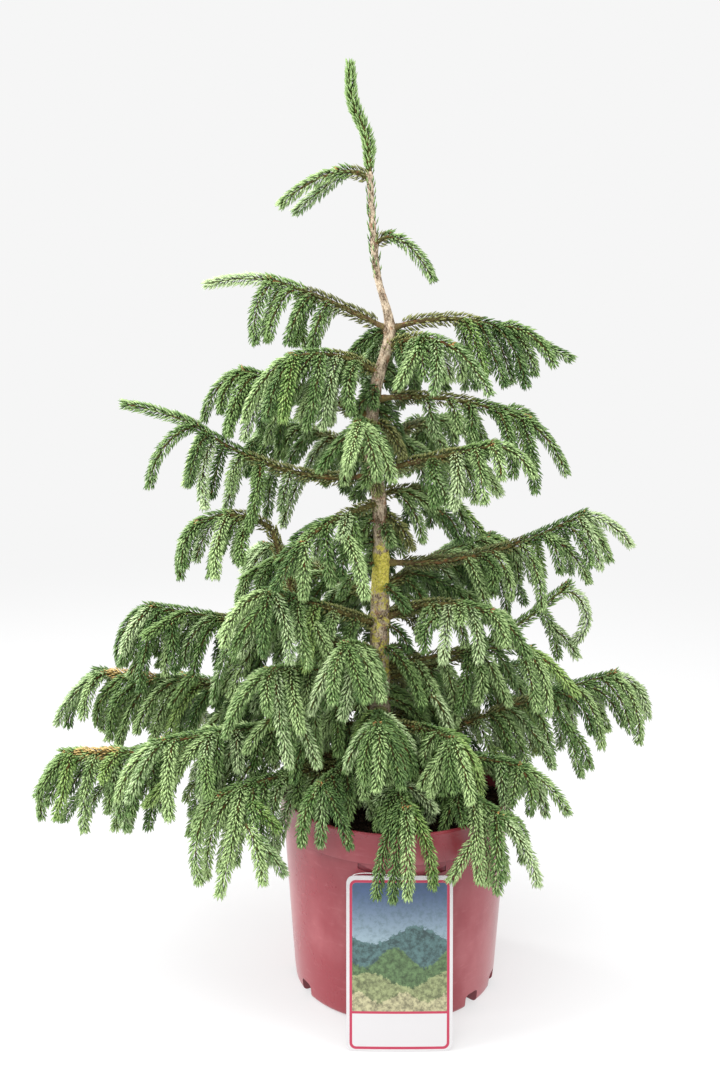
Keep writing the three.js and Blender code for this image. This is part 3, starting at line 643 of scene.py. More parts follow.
def grow_finer(limb, index, taken):
    """More shoots of the same rule, from side stems, from the stem and from the shoots."""
    draw = seeded(FINER_SEED + index)
    stem = Path(limb["stem"])
    low, high = finer_space(limb)
    first, hang, fullness = min(limb["first_share"], FINER_FIRST), limb["hang"], limb["fullness"]
    droop, fan = limb.get("droop", HANG_PITCH), limb.get("fan", FAN)
    room = FULL_ROOM if fullness > 1 else FINER_ROOM
    shoots = []

    def place(start, heading, pitch_from, pitch_to, length, out=STEM_END):
        for size in FINER_SIZES:
            points = shoot_points(start, heading, pitch_from, pitch_to, length * size)
            if (points[2:] < low).any() or (points[2:] > high).any():
                continue
            if not taken.is_clear(index, points, FINER_REACH, 0, FINER_OWN_ROOM, room):
                continue
            taken.take(index, points, lambda shares: FINER_REACH)
            shoots.append(dict(
                points=points, heading=heading, length=length * size, pitch_to=pitch_to, out=out,
                kind="finer",
            ))
            return shoots[-1]

    def some_of(row):
        return row[:round(len(row) * min(fullness, 1))]

    end = stem.at(STEM_END)[0]
    for turn in some_of(WHORL_TURNS):
        heading = heading_of(stem.ahead(STEM_END)) + turn + WHORL_SWAY * (draw() - 0.5)
        pitch_from, pitch_to = drawn(WHORL_PITCH, draw), droop + WHORL_HANG_SPREAD * draw()
        place(end, heading, pitch_from, pitch_to, hang * drawn(WHORL_LENGTH_SHARE, draw))
    for i, share in enumerate(some_of(SIDE_STEMS)):
        along = first + (STEM_END - first) * share
        heading = heading_of(stem.ahead(along)) + side_of(i) * drawn(SIDE_FAN, draw)
        length = stem.length() * drawn(SIDE_LENGTH_SHARE, draw) * (1 - SIDE_SHORTER_OUTWARDS * share)
        pitch_from, pitch_to = drawn(SIDE_PITCH_FROM, draw), drawn(SIDE_PITCH_TO, draw)
        branch = place(stem.at(along)[0], heading, pitch_from, pitch_to, length, along)
        for k in range(SIDE_SHOOTS if branch else 0):
            start = Path(branch["points"]).at((k + SIDE_SHOOT_PLACE) / SIDE_SHOOTS)[0]
            heading = branch["heading"] + side_of(k) * drawn(SIDE_SHOOT_TURN, draw)
            pitch_from, pitch_to = drawn(SIDE_SHOOT_PITCH, draw), droop + SIDE_SHOOT_HANG_SPREAD * draw()
            place(start, heading, pitch_from, pitch_to, hang * drawn(SIDE_SHOOT_LENGTH_SHARE, draw), along)
    count = round(limb["shoots"] * (FINER_LOW if limb["tip"] < FINER_LOW_TOP else FINER_HIGH) * fullness)
    for i in range(count):
        along = first + (STEM_END - first) * (i + FINER_PLACE_SPREAD * draw()) / count
        heading = heading_of(stem.ahead(along)) + side_of(i) * fan * drawn(FINER_FAN_SHARE, draw)
        length, pitch_from = hang * drawn(FINER_LENGTH_SHARE, draw), drawn(FINER_PITCH, draw)
        place(stem.at(along)[0], heading, pitch_from, droop + FINER_HANG_SPREAD * draw(), length, along)
    span = FULL_LATERAL_SPAN if fullness > 1 else LATERAL_SPAN
    for shoot in limb["grown"] + list(shoots):
        path = Path(shoot["points"])
        for side in (-1, 1):
            chance, share = draw(), LATERAL_FROM + span * draw()
            turn, short = drawn(LATERAL_FAN, draw), drawn(LATERAL_LENGTH_SHARE, draw)
            if chance > LATERAL_SHARE * min(fullness, LATERAL_MOST) * (LATERAL_REACH - shoot["out"]):
                continue
            pitch_from = pitch_of(path.ahead(share)) * LATERAL_PITCH_SHARE
            pitch_to = min(shoot["pitch_to"] + LATERAL_RISE, LATERAL_PITCH_MOST)
            heading = shoot["heading"] + side * turn
            place(path.at(share)[0], heading, pitch_from, pitch_to, shoot["length"] * short)
    return shoots


def grow_inner(taken):
    """Short shaded shoots from the trunk, which fill the crown's inside."""
    draw = seeded(INNER_SEED)
    shoots = []
    for low, high, count, least, most_more, first_heading, turn_range in INNER_SPRIGS:
        for i in range(count):
            height = low + (high - low) * (i + draw()) / count
            heading = first_heading + (GOLDEN_ANGLE * i + INNER_TURN_SPREAD * draw()) % turn_range
            start = np.array((between(TRUNK_BENDS, height), 0, height))
            start += direction(heading, 0) * trunk_radius(height) * INNER_ROOT_SHARE
            pitch_from, pitch_to = drawn(INNER_PITCH_FROM, draw), drawn(INNER_PITCH_TO, draw)
            length = least + most_more * draw()
            for size in SIZES:
                points = shoot_points(start, heading, pitch_from, pitch_to, length * size)
                if taken.is_clear(TRUNK_OWNER, points, FINER_REACH, 0, FINER_OWN_ROOM, FINER_ROOM):
                    taken.take(TRUNK_OWNER, points, lambda shares: FINER_REACH)
                    shoots.append(dict(points=points, heading=heading, kind="inner"))
                    break
    return shoots


def bent(shoot, draw):
    """The points of a shoot with a slight bend, or straight where the bend would meet pot or card."""
    # The trunk's sprigs have no length of their own and bend half as far
    size = shoot.get("length", BEND_LENGTH / 2) / BEND_LENGTH
    side, out, belly = (2 * size * reach * (draw() - 0.5) for reach in (BEND_SIDE, BEND_OUT, BEND_BELLY))
    share = np.linspace(0, 1, len(shoot["points"]))[:, None]
    points = shoot["points"] + direction(shoot["heading"], 0) * out * share ** 2
    across = side * share ** 2 + belly * np.sin(math.pi * share)
    points = points + direction(shoot["heading"] + 90, 0) * across
    middles = Path(points).at(np.linspace(BEND_TEST_FROM, 1, BEND_TESTS))
    if hits_pot(middles, NEEDLE_REACH).any() or hits_card(middles, NEEDLE_REACH).any():
        return shoot["points"]
    return points


@functools.cache
def grown_plant():
    """All limbs with their stems, and every shoot, grown once for all operators."""
    limbs = [dict(zip(LIMB_FIELDS, row), **LIMB_EXTRAS.get(row[0], {})) for row in LIMB_ROWS]
    taken = Taken()
    for index, limb in enumerate(limbs):
        size = min(1, limb["reach"] / SWAY_FULL_REACH)
        limb["sway"] = SWAY * (seeded(SWAY_SEED + index)() - 0.5) * size
        limb["stem"] = stem_points(limb)
    taken.take(TRUNK_OWNER, trunk_points(), lambda s: trunk_radius(SOIL_LEVEL + s * (TRUNK_TOP - SOIL_LEVEL)))
    taken.take(LEADER_OWNER, leader_points(), lambda s: NEEDLE_REACH)
    for index, limb in enumerate(limbs):
        if limb["bare"] > 0:
            wood = limb_points(limb, WOOD_START_SHARE, limb["bare"], BOUGH_STEPS)
            taken.take(BOUGH_OWNER, wood, lambda s, girth=limb["girth"]: girth / 2)
        taken.take(index, limb["stem"], lambda s: STEM_REACH)
    for index, limb in enumerate(limbs):
        limb["grown"] = grow_shoots(limb, index, taken)
    finer = [grow_finer(limb, index, taken) for index, limb in enumerate(limbs)]
    shoots = [shoot for limb in limbs for shoot in limb["grown"]]
    shoots += [shoot for row in finer for shoot in row] + grow_inner(taken)
    draw = seeded(BEND_SEED)
    shoots = [dict(shoot, points=bent(shoot, draw)) for shoot in shoots]
    return limbs, shoots


# Meshes from rows of points
TUBE_TIP_SHARE = 0.4
NOISE_MIX = (374761393, 668265263, 2246822519)
NOISE_SEED_MIX = 3266489917
NOISE_STIR = 1274126177
NOISE_SHIFTS = (13, 16)
HALF_WORD = 0xFFFF
# The cells of the bark's plates, scales and lumps, the weight of each, and how far all of it is sunk
PLATE_CELL = (3.4, 3.4, 7)
SCALE_CELL = (1.5, 1.5, 2.2)
BARK_LUMP_CELL = (9, 9, 16)
PLATE_WEIGHT, SCALE_WEIGHT, BARK_LUMP_WEIGHT = 0.9, 0.5, 0.9
PLATE_POWER = 0.6
BARK_SINK = 0.8


def shown(name, data):
    piece = bpy.data.objects.new(name, data)
    bpy.context.scene.collection.objects.link(piece)
    return piece


def made(name, material, parts, smooth=True):
    """One object from parts that each have their corners and faces."""
    corners, faces, count = [], [], 0
    for part_corners, part_faces in parts:
        corners.append(np.asarray(part_corners, float))
        faces.extend((np.asarray(face) + count).tolist() for face in part_faces)
        count += len(part_corners)
    mesh = bpy.data.meshes.new(name)
    mesh.from_pydata((np.concatenate(corners) * MM).tolist(), [], faces)
    mesh.materials.append(material)
    if smooth:
        mesh.shade_smooth()
    mesh.update()
    return shown(name, mesh)


@functools.cache
def tube_faces(rings, sides):
    """Faces of a closed tube: its rings in order, then the middle of its first and its last end."""
    faces = []
    for i in range(rings - 1):
        for k in range(sides):
            a, b = i * sides + k, i * sides + (k + 1) % sides
            faces.append((a, b, b + sides, a + sides))
    foot, tip = rings * sides, rings * sides + 1
    for k in range(sides):
        faces.append((foot, (k + 1) % sides, k))
        last = (rings - 1) * sides
        faces.append((tip, last + k, last + (k + 1) % sides))
    return faces


def tube(line, along, radius, sides, relief=None):
    """A closed tube of some radius along a line, with a relief where one is given."""
    middle, ahead, side, top = line.read(along)
    turns = np.arange(sides) * 2 * math.pi / sides
    out = side[:, None] * np.cos(turns)[None, :, None] - top[:, None] * np.sin(turns)[None, :, None]
    radius = np.broadcast_to(np.asarray(radius, float).reshape(len(along), -1), (len(along), sides))
    corners = middle[:, None] + out * radius[:, :, None]
    if relief is not None:
        corners = corners + out * relief(corners.reshape(-1, 3)).reshape(len(along), sides, 1)
    ends = [middle[0], middle[-1] + ahead[-1] * radius[-1].mean() * TUBE_TIP_SHARE]
    return np.concatenate([corners.reshape(-1, 3), ends]), tube_faces(len(along), sides)


def noise(points, cell, seed):
    """A smooth random value from 0 to 1 over space, with lumps the size of a cell."""
    place = points / np.asarray(cell, float)
    base = np.floor(place).astype(np.int64)
    share = place - base
    share = share * share * (3 - 2 * share)
    total = 0
    for corner in range(8):
        step = np.array([corner & 1, corner >> 1 & 1, corner >> 2 & 1])
        x, y, z = (base + step).T
        mixed = x * NOISE_MIX[0] + y * NOISE_MIX[1] + z * NOISE_MIX[2] + seed * NOISE_SEED_MIX
        mixed = (mixed ^ (mixed >> NOISE_SHIFTS[0])) * NOISE_STIR
        value = ((mixed ^ (mixed >> NOISE_SHIFTS[1])) & HALF_WORD) / HALF_WORD
        weight = np.prod(np.where(step == 1, share, 1 - share), axis=1)
        total = total + value * weight
    return total


def bark_relief(points, depth, seed):
    """Plates with furrows between them, fine scales on them and broad lumps under them."""
    plates = np.abs(noise(points, PLATE_CELL, seed) - 0.5) * 2
    scales = noise(points, SCALE_CELL, seed + 1)
    lumps = noise(points, BARK_LUMP_CELL, seed + 2) - 0.5
    height = PLATE_WEIGHT * plates ** PLATE_POWER + SCALE_WEIGHT * scales + BARK_LUMP_WEIGHT * lumps
    return depth * (height - BARK_SINK)


def turned(profile, sides):
    """A closed shape turned about the upright axis from (radius, height) pairs that start and end on it."""
    inner = np.array(profile[1:-1], float)
    turns = np.arange(sides) * 2 * math.pi / sides
    ring = np.stack([np.cos(turns), np.sin(turns)], 1)
    corners = np.concatenate([
        inner[:, 0, None, None] * ring[None],
        np.broadcast_to(inner[:, 1, None, None], (len(inner), sides, 1)),
    ], 2).reshape(-1, 3)
    ends = [(0, 0, profile[0][1]), (0, 0, profile[-1][1])]
    return np.concatenate([corners, ends]), tube_faces(len(inner), sides)


# Materials
def linear(red, green, blue):
    """A screen colour from 0 to 255 as the light that it stands for."""
    return tuple(
        (part / 255 / 12.92 if part <= 10 else ((part / 255 + 0.055) / 1.055) ** 2.4)
        for part in (red, green, blue)
    )


BARK_RUST = linear(150, 96, 60)
LICHEN_DARK = linear(140, 130, 56)
LICHEN_LIGHT = linear(216, 204, 92)
LICHEN_PALE = linear(214, 206, 184)
# The heights in metres between which the lichen is thick and thin: where each band begins, is full,
# fades and ends, and how much there is where it is full
LICHEN_THICK = (0.33, 0.352, 0.373, 0.383)
LICHEN_THIN = (0.25, 0.28, 0.378, 0.415, 0.5)
POT_DIRT = linear(70, 48, 44)
# Painted shade: the darker plastic under the band and on the cut faces of the notches and hollows
POT_SHADE = linear(118, 36, 48)
# Height of the splashed dirt on the pot and of the painted shade under its band, in metres
POT_SPLASH = (0.13, 0.165)
POT_SHADE_HEIGHT = 0.007
POT_SHADE_OVER = 0.0004
CARD_WHITE = linear(198, 196, 197)
CARD_RING = linear(172, 48, 76)
CARD_SKY_LOW = linear(150, 170, 178)
CARD_SKY_HIGH = linear(64, 84, 118)
CARD_DAPPLE = linear(46, 74, 66)
# Middle height, half width, half height and corner of what the border and the fields fill
CARD_BORDER = (69.0, 39.5, 67.6, 5.0)
CARD_FIELD = (69.0, 37.4, 65.5, 3.2)
# The heights of the rule between the fields and of the picture's sky, and how soft an edge is
CARD_RULE = (30.0, 32.0)
CARD_SKY = (70.0, 134.0)
CARD_EDGE = 0.12
RULE_EDGE = 0.1
HILL_EDGE = 0.4
# Height, swell, pace, start and colour of each hill of the plain picture, the furthest first
CARD_HILLS = (
    (86, 7, 0.09, 0.4, linear(72, 98, 98)),
    (68, 8, 0.13, 2.1, linear(82, 106, 70)),
    (50, 6, 0.1, 4.0, linear(128, 136, 96)),
    (36, 4, 0.17, 1.0, linear(160, 156, 122)),
)
HILL_ROUGHNESS = 14.0
HILL_LIGHT = 1.35
HILL_DARK = 0.45

# Needle kinds: the darker and the lighter colour of each
NEEDLE_KINDS = {
    "deep": (linear(60, 96, 38), linear(142, 174, 102)),
    "mid": (linear(80, 119, 49), linear(188, 215, 146)),
    "pale": (linear(100, 138, 68), linear(208, 229, 174)),
    "fresh": (linear(88, 128, 48), linear(178, 207, 122)),
    "bronze": (linear(84, 90, 44), linear(150, 154, 90)),
    "golden": (linear(158, 122, 62), linear(222, 192, 124)),
}
# The share of the darker colour that a needle's foot keeps: painted shade in the crowded gaps next to the
# shoot
NEEDLE_FOOT_SHADE = 0.24


class Nodes:
    """A node tree that is filled one node at a time."""

    def __init__(self, tree):
        self.tree = tree

    def add(self, kind, inputs=None, **settings):
        node = self.tree.nodes.new(kind)
        for name, value in settings.items():
            setattr(node, name, value)
        self.fill(node, inputs or {})
        return node

    def fill(self, node, inputs):
        """Sets or links the inputs of a node, by their number or their name."""
        for key, value in inputs.items():
            socket = node.inputs[key.replace("_", " ") if isinstance(key, str) else key]
            if isinstance(value, bpy.types.NodeSocket):
                self.tree.links.new(value, socket)
            else:
                socket.default_value = value

    def math(self, operation, first, second=0.0, clamp=False):
        inputs = {0: first, 1: second}
        return self.add("ShaderNodeMath", inputs, operation=operation, use_clamp=clamp).outputs[0]

    def plus(self, first, second):
        return self.math("ADD", first, second)

    def minus(self, first, second):
        return self.math("SUBTRACT", first, second)

    def times(self, first, second):
        return self.math("MULTIPLY", first, second)

    def blend(self, first, first_share, second, second_share):
        """The sum of two values, each times its share."""
        return self.plus(self.times(first, first_share), self.times(second, second_share))

    def mix(self, factor, first, second):
        colours = {
            key: (*value, 1) if isinstance(value, tuple) and len(value) == 3 else value
            for key, value in ((6, first), (7, second))
        }
        return self.add("ShaderNodeMix", {0: factor, **colours}, data_type="RGBA").outputs[2]

    def ramp(self, factor, low, high, first=0.0, second=1.0):
        return self.add(
            "ShaderNodeMapRange", {0: factor, 1: low, 2: high, 3: first, 4: second},
            interpolation_type="SMOOTHSTEP",
        ).outputs[0]

    def band(self, factor, start, full, fade, end, most=1.0):
        """Rises from 0 at the start, and falls from the most to 0 at the end."""
        return self.times(self.ramp(factor, start, full), self.ramp(factor, fade, end, most, 0.0))

    def place(self):
        return self.add("ShaderNodeTexCoord").outputs["Object"]

    def height(self):
        return self.add("ShaderNodeSeparateXYZ", {0: self.place()}).outputs[2]

    def noise(self, scale, detail=4.0, vector=None, roughness=0.55):
        inputs = {"Scale": scale, "Detail": detail, "Roughness": roughness}
        inputs["Vector"] = vector or self.place()
        return self.add("ShaderNodeTexNoise", inputs).outputs["Fac"]

    def group(self, tree, **inputs):
        return self.add("ShaderNodeGroup", inputs, node_tree=tree).outputs

    def bump(self, height, strength, distance):
        inputs = {"Height": height, "Strength": strength, "Distance": distance}
        return self.add("ShaderNodeBump", inputs).outputs[0]


def new_material(name):
    """A material, its nodes and its shader, linked to the output."""
    material = bpy.data.materials.new(name)
    material.use_nodes = True
    nodes = Nodes(material.node_tree)
    nodes.tree.nodes.clear()
    shader = nodes.add("ShaderNodeBsdfPrincipled")
    nodes.add("ShaderNodeOutputMaterial", {"Surface": shader.outputs[0]})
    return material, nodes, shader


def new_group(name, inputs, outputs):
    """A shader group with plain numbers in and out, its nodes, and what it is given."""
    tree = bpy.data.node_groups.new(name, "ShaderNodeTree")
    for key, value in inputs.items():
        tree.interface.new_socket(key, in_out="INPUT", socket_type="NodeSocketFloat").default_value = value
    for key in outputs:
        tree.interface.new_socket(key, in_out="OUTPUT", socket_type="NodeSocketFloat")
    nodes = Nodes(tree)
    return tree, nodes, nodes.add("NodeGroupInput").outputs


@functools.cache
def grit_group():
    """Fine grit and broad patches that the pot, bark, peat and card have in common."""
    tree, nodes, given = new_group(
        "Grit and patches", {"Patch size": 0.03, "Grit size": 0.002, "Stretch": 1.0},
        ("Patches", "Grit", "Height"),
    )
    place = nodes.place()
    stretch = nodes.add("ShaderNodeCombineXYZ", {0: 1.0, 1: 1.0, 2: given["Stretch"]}).outputs[0]
    place = nodes.add("ShaderNodeVectorMath", {0: place, 1: stretch}, operation="MULTIPLY").outputs[0]
    patches = nodes.noise(nodes.math("DIVIDE", 1.0, given["Patch size"]), 5.0, place)
    grit = nodes.noise(nodes.math("DIVIDE", 1.0, given["Grit size"]), 3.0, place)
    height = nodes.blend(patches, 0.4, grit, 0.6)
    nodes.add("NodeGroupOutput", {"Patches": patches, "Grit": grit, "Height": height})
    return tree


def needle_material(name, dark, light, roughness=0.5):
    material, nodes, shader = new_material(name)
    tint, along = (
        nodes.add("ShaderNodeAttribute", attribute_name=key).outputs["Fac"] for key in ("tint", "along")
    )
    mottle = nodes.noise(180.0, 2.0)
    body = nodes.mix(nodes.ramp(nodes.blend(tint, 0.6, mottle, 0.4), 0.2, 0.76), dark, light)
    # Each needle, and each bud scale, darkens towards its foot: painted shade where they crowd round the
    # shoot
    foot = tuple(part * NEEDLE_FOOT_SHADE for part in dark)
    colour = nodes.mix(nodes.ramp(along, 0.0, 0.68, 0.9, 0.0), body, foot)
    gloss = nodes.plus(nodes.times(mottle, 0.2), roughness - 0.1)
    nodes.fill(shader, dict(Base_Color=colour, Roughness=gloss, Specular_IOR_Level=0.6))
    return material


def with_lichen(nodes, colour):
    """The bark's colour with crusts of lichen at their heights on the trunk."""
    height = nodes.height()
    crust = nodes.noise(230.0, 6.0, roughness=0.72)
    cover = nodes.math("MAXIMUM", nodes.band(height, *LICHEN_THICK), nodes.band(height, *LICHEN_THIN))
    mask = nodes.ramp(nodes.plus(crust, nodes.times(cover, 0.33)), 0.66, 0.74)
    mask = nodes.math("MULTIPLY", mask, nodes.ramp(cover, 0.05, 0.3), clamp=True)
    fleck = nodes.noise(460.0, 5.0, roughness=0.7)
    moss = nodes.mix(nodes.ramp(fleck, 0.34, 0.6), LICHEN_DARK, LICHEN_LIGHT)
    moss = nodes.mix(nodes.ramp(fleck, 0.57, 0.68, 0.0, 0.7), moss, LICHEN_PALE)
    return nodes.mix(mask, colour, moss)


def wood_material(name, dark, light, lichen=False, depth=0.0009):
    material, nodes, shader = new_material(name)
    grit = nodes.group(grit_group(), Patch_size=0.005, Grit_size=0.0009, Stretch=0.5)
    share = nodes.blend(grit["Patches"], 0.6, grit["Grit"], 0.5)
    colour = nodes.mix(nodes.ramp(share, 0.42, 0.68), dark, light)
    rust = nodes.ramp(nodes.noise(150.0, 3.0), 0.56, 0.66, 0.0, 0.5)
    colour = nodes.mix(rust, colour, BARK_RUST)
    if lichen:
        colour = with_lichen(nodes, colour)
    normal = nodes.bump(grit["Height"], 0.7, depth)
    nodes.fill(shader, dict(Base_Color=colour, Roughness=0.88, Specular_IOR_Level=0.25, Normal=normal))
    return material


def pot_material(name, colour, haze):
    """Moulded plastic with scuffs, streaks, splashes of dirt and a painted shade under the band."""
    material, nodes, shader = new_material(name)
    grit = nodes.group(grit_group(), Patch_size=0.055, Grit_size=0.0012, Stretch=0.6)
    rough = nodes.group(grit_group(), Patch_size=0.012, Grit_size=0.0005, Stretch=3.0)
    scuff = nodes.ramp(grit["Patches"], 0.46, 0.72, 0.0, 0.36)
    streak = nodes.ramp(rough["Patches"], 0.55, 0.75, 0.0, 0.16)
    worn = nodes.mix(nodes.math("ADD", scuff, streak, clamp=True), colour, haze)
    specks = nodes.ramp(grit["Grit"], 0.705, 0.76, 0.0, 0.7)
    height = nodes.height()
    splash = nodes.times(nodes.ramp(height, *POT_SPLASH, 0.25, 1.0), specks)
    dirt_and_shade = nodes.mix(splash, worn, POT_DIRT)
    # A strip of painted shade just under the band's step, laid over the real dirt
    shoulder = POT_SHOULDER * MM
    below = nodes.math("LESS_THAN", height, shoulder + POT_SHADE_OVER)
    under = nodes.times(nodes.ramp(height, shoulder - POT_SHADE_HEIGHT, shoulder), below)
    dirt_and_shade = nodes.mix(nodes.times(under, 0.45), dirt_and_shade, POT_SHADE)
    nodes.fill(shader, dict(
        Base_Color=dirt_and_shade, Roughness=nodes.plus(nodes.times(grit["Patches"], 0.16), 0.2),
        Specular_IOR_Level=0.6, Sheen_Weight=0.34, Sheen_Roughness=0.3,
        Normal=nodes.bump(rough["Height"], 0.12, 0.0004),
    ))
    return material


def peat_material(dark, light):
    material, nodes, shader = new_material("dark peat")
    grit = nodes.group(grit_group(), Patch_size=0.012, Grit_size=0.0016, Stretch=1.0)
    colour = nodes.mix(nodes.ramp(grit["Height"], 0.42, 0.72), dark, light)
    normal = nodes.bump(grit["Height"], 1.0, 0.002)
    nodes.fill(shader, dict(Base_Color=colour, Roughness=0.95, Specular_IOR_Level=0.2, Normal=normal))
    return material


@functools.cache
def rounded_box_group():
    """How far a point stands outside a box with rounded corners, in millimetres."""
    tree, nodes, given = new_group(
        "Distance to a rounded box",
        {"Across": 0.0, "Up": 0.0, "Half width": 0.0, "Half height": 0.0, "Corner": 0.0}, ("Distance",),
    )
    sides = []
    for place, half in (("Across", "Half width"), ("Up", "Half height")):
        reach = nodes.minus(nodes.math("ABSOLUTE", given[place]), given[half])
        sides.append(nodes.plus(reach, given["Corner"]))
    outer = [nodes.math("POWER", nodes.math("MAXIMUM", side, 0.0), 2.0) for side in sides]
    length = nodes.math("SQRT", nodes.plus(*outer))
    inner = nodes.math("MINIMUM", nodes.math("MAXIMUM", *sides), 0.0)
    distance = nodes.minus(nodes.plus(length, inner), given["Corner"])
    nodes.add("NodeGroupOutput", {"Distance": distance})
    return tree


def card_picture(nodes, across, up):
    """Plain hills, one behind the other, under a plain sky."""
    view = nodes.mix(nodes.ramp(up, *CARD_SKY), CARD_SKY_LOW, CARD_SKY_HIGH)
    blot = nodes.noise(260.0, 6.0, roughness=0.75)
    view = nodes.mix(nodes.ramp(blot, 0.42, 0.66, 0.0, 0.35), view, CARD_DAPPLE)
    for height, swell, pace, start, tone in CARD_HILLS:
        wave = nodes.math("SINE", nodes.plus(nodes.times(across, pace), start))
        crest = nodes.plus(nodes.times(wave, swell), height)
        crest = nodes.plus(crest, nodes.times(blot, HILL_ROUGHNESS))
        below = nodes.ramp(nodes.minus(crest, up), -HILL_EDGE, HILL_EDGE)
        dark, light = (tuple(part * share for part in tone) for share in (HILL_DARK, HILL_LIGHT))
        view = nodes.mix(below, view, nodes.mix(nodes.ramp(blot, 0.36, 0.64), dark, light))
    return view


def card_material():
    """White card with a coloured border, a plain picture of hills above and a bare field below."""
    material, nodes, shader = new_material("printed card")
    card_map = nodes.add("ShaderNodeUVMap", uv_map="card").outputs[0]
    spot = nodes.add("ShaderNodeSeparateXYZ", {0: card_map}).outputs
    across = nodes.times(nodes.minus(spot[0], 0.5), float(CARD_WIDTH))
    up = nodes.times(spot[1], float(CARD_HEIGHT))

    def inside(middle, half_width, half_height, corner):
        distance = nodes.group(
            rounded_box_group(), Across=across, Up=nodes.minus(up, middle),
            Half_width=half_width, Half_height=half_height, Corner=corner,
        )[0]
        return nodes.ramp(distance, -CARD_EDGE, CARD_EDGE, 1.0, 0.0)

    field = inside(*CARD_FIELD)
    rule_foot, rule_top = ((height - RULE_EDGE, height + RULE_EDGE) for height in CARD_RULE)
    rule = nodes.band(up, *rule_foot, *rule_top)
    white = nodes.math("SUBTRACT", field, rule, clamp=True)
    colour = nodes.mix(inside(*CARD_BORDER), CARD_WHITE, CARD_RING)
    colour = nodes.mix(white, colour, CARD_WHITE)
    picture = nodes.times(field, nodes.ramp(up, *rule_top))
    colour = nodes.mix(picture, colour, card_picture(nodes, across, up))
    grit = nodes.group(grit_group(), Patch_size=0.03, Grit_size=0.001, Stretch=1.0)
    gloss = nodes.plus(nodes.times(grit["Patches"], 0.15), 0.28)
    normal = nodes.bump(grit["Height"], 0.05, 0.0003)
    nodes.fill(shader, dict(Base_Color=colour, Roughness=gloss, Normal=normal))
    return material


# Geometry nodes that set a form on each point of a mesh
@functools.cache
def spread_tree():
    """Sets one form at each point, turned by its aim and up, sized, made real and given its finish."""
    tree = bpy.data.node_groups.new("Spread a form over points", "GeometryNodeTree")
    for name, kind in (("Geometry", "Geometry"), ("Form", "Object"), ("Finish", "Material")):
        tree.interface.new_socket(name, in_out="INPUT", socket_type="NodeSocket" + kind)
    for name, value in (("Length", 0.0075), ("Width", 0.001)):
        tree.interface.new_socket(name, in_out="INPUT", socket_type="NodeSocketFloat").default_value = value
    tree.interface.new_socket("Geometry", in_out="OUTPUT", socket_type="NodeSocketGeometry")
    nodes = Nodes(tree)
    given = nodes.add("NodeGroupInput").outputs
    aim, up = (
        nodes.add("GeometryNodeInputNamedAttribute", {"Name": name}, data_type="FLOAT_VECTOR").outputs[0]
        for name in ("aim", "up")
    )
    size = nodes.add("GeometryNodeInputNamedAttribute", {"Name": "size"}, data_type="FLOAT").outputs[0]
    turn = nodes.add("FunctionNodeAlignRotationToVector", {"Vector": aim}, axis="X").outputs[0]
    turn = nodes.add(
        "FunctionNodeAlignRotationToVector", {"Rotation": turn, "Vector": up}, axis="Z", pivot_axis="X"
    ).outputs[0]
    length = nodes.times(given["Length"], size)
    scale = nodes.add("ShaderNodeCombineXYZ", {0: length, 1: given["Width"], 2: given["Width"]}).outputs[0]
    form = nodes.add("GeometryNodeObjectInfo", {"Object": given["Form"], "As Instance": True})
    put = nodes.add("GeometryNodeInstanceOnPoints", {
        "Points": given["Geometry"], "Instance": form.outputs["Geometry"], "Rotation": turn, "Scale": scale,
    })
    real = nodes.add("GeometryNodeRealizeInstances", {"Geometry": put.outputs[0]})
    done = nodes.add("GeometryNodeSetMaterial", {"Geometry": real.outputs[0], "Material": given["Finish"]})
    nodes.add("NodeGroupOutput", {"Geometry": done.outputs[0]})
    return tree


def form_of(name, rings, sides, ends=(0.0, 1.0)):
    """A closed spindle along X from (along, radius, lift) rings, one unit long and one wide."""
    turns = (np.arange(sides) + 0.5) * 2 * math.pi / sides
    corners = [
        (along, radius * math.cos(turn), lift + radius * math.sin(turn))
        for along, radius, lift in rings for turn in turns
    ]
    corners += [(ends[0], 0, 0), (ends[1], 0, 0)]
    mesh = bpy.data.meshes.new(name)
    mesh.from_pydata(corners, [], tube_faces(len(rings), sides))
    mesh.shade_smooth()
    share = mesh.attributes.new("along", "FLOAT", "POINT")
    share.data.foreach_set("value", np.array([corner[0] for corner in corners], np.float32))
    return shown(name, mesh)


def spread(name, form, points, length, width, material):
    """One plain mesh with the form at each of the points."""
    mesh = bpy.data.meshes.new(name + " points")
    count = len(points["place"])
    mesh.vertices.add(count)
    mesh.vertices.foreach_set("co", (points["place"] * MM).astype(np.float32).ravel())
    for key in ("aim", "up"):
        attribute = mesh.attributes.new(key, "FLOAT_VECTOR", "POINT")
        attribute.data.foreach_set("vector", points[key].astype(np.float32).ravel())
    for key in ("size", "tint"):
        attribute = mesh.attributes.new(key, "FLOAT", "POINT")
        attribute.data.foreach_set("value", points[key].astype(np.float32))
    piece = shown(name, mesh)
    modifier = piece.modifiers.new("Spread", "NODES")
    modifier.node_group = spread_tree()
    inputs = {"Form": form, "Length": length * MM, "Width": width * MM, "Finish": material}
    for item in spread_tree().interface.items_tree:
        if item.in_out == "INPUT" and item.name in inputs:
            modifier[item.identifier] = inputs[item.name]
    bpy.context.view_layer.update()
    graph = bpy.context.evaluated_depsgraph_get()
    real = bpy.data.meshes.new_from_object(
        piece.evaluated_get(graph), preserve_all_data_layers=True, depsgraph=graph
    )
    piece.modifiers.clear()
    piece.data = real
    real.name = name
    for key in ("aim", "up", "size"):
        if key in real.attributes:
            real.attributes.remove(real.attributes[key])
    if not real.polygons:
        raise RuntimeError(name + " came out empty")
    return piece


def remove(*pieces):
    for piece in pieces:
        bpy.data.objects.remove(piece)


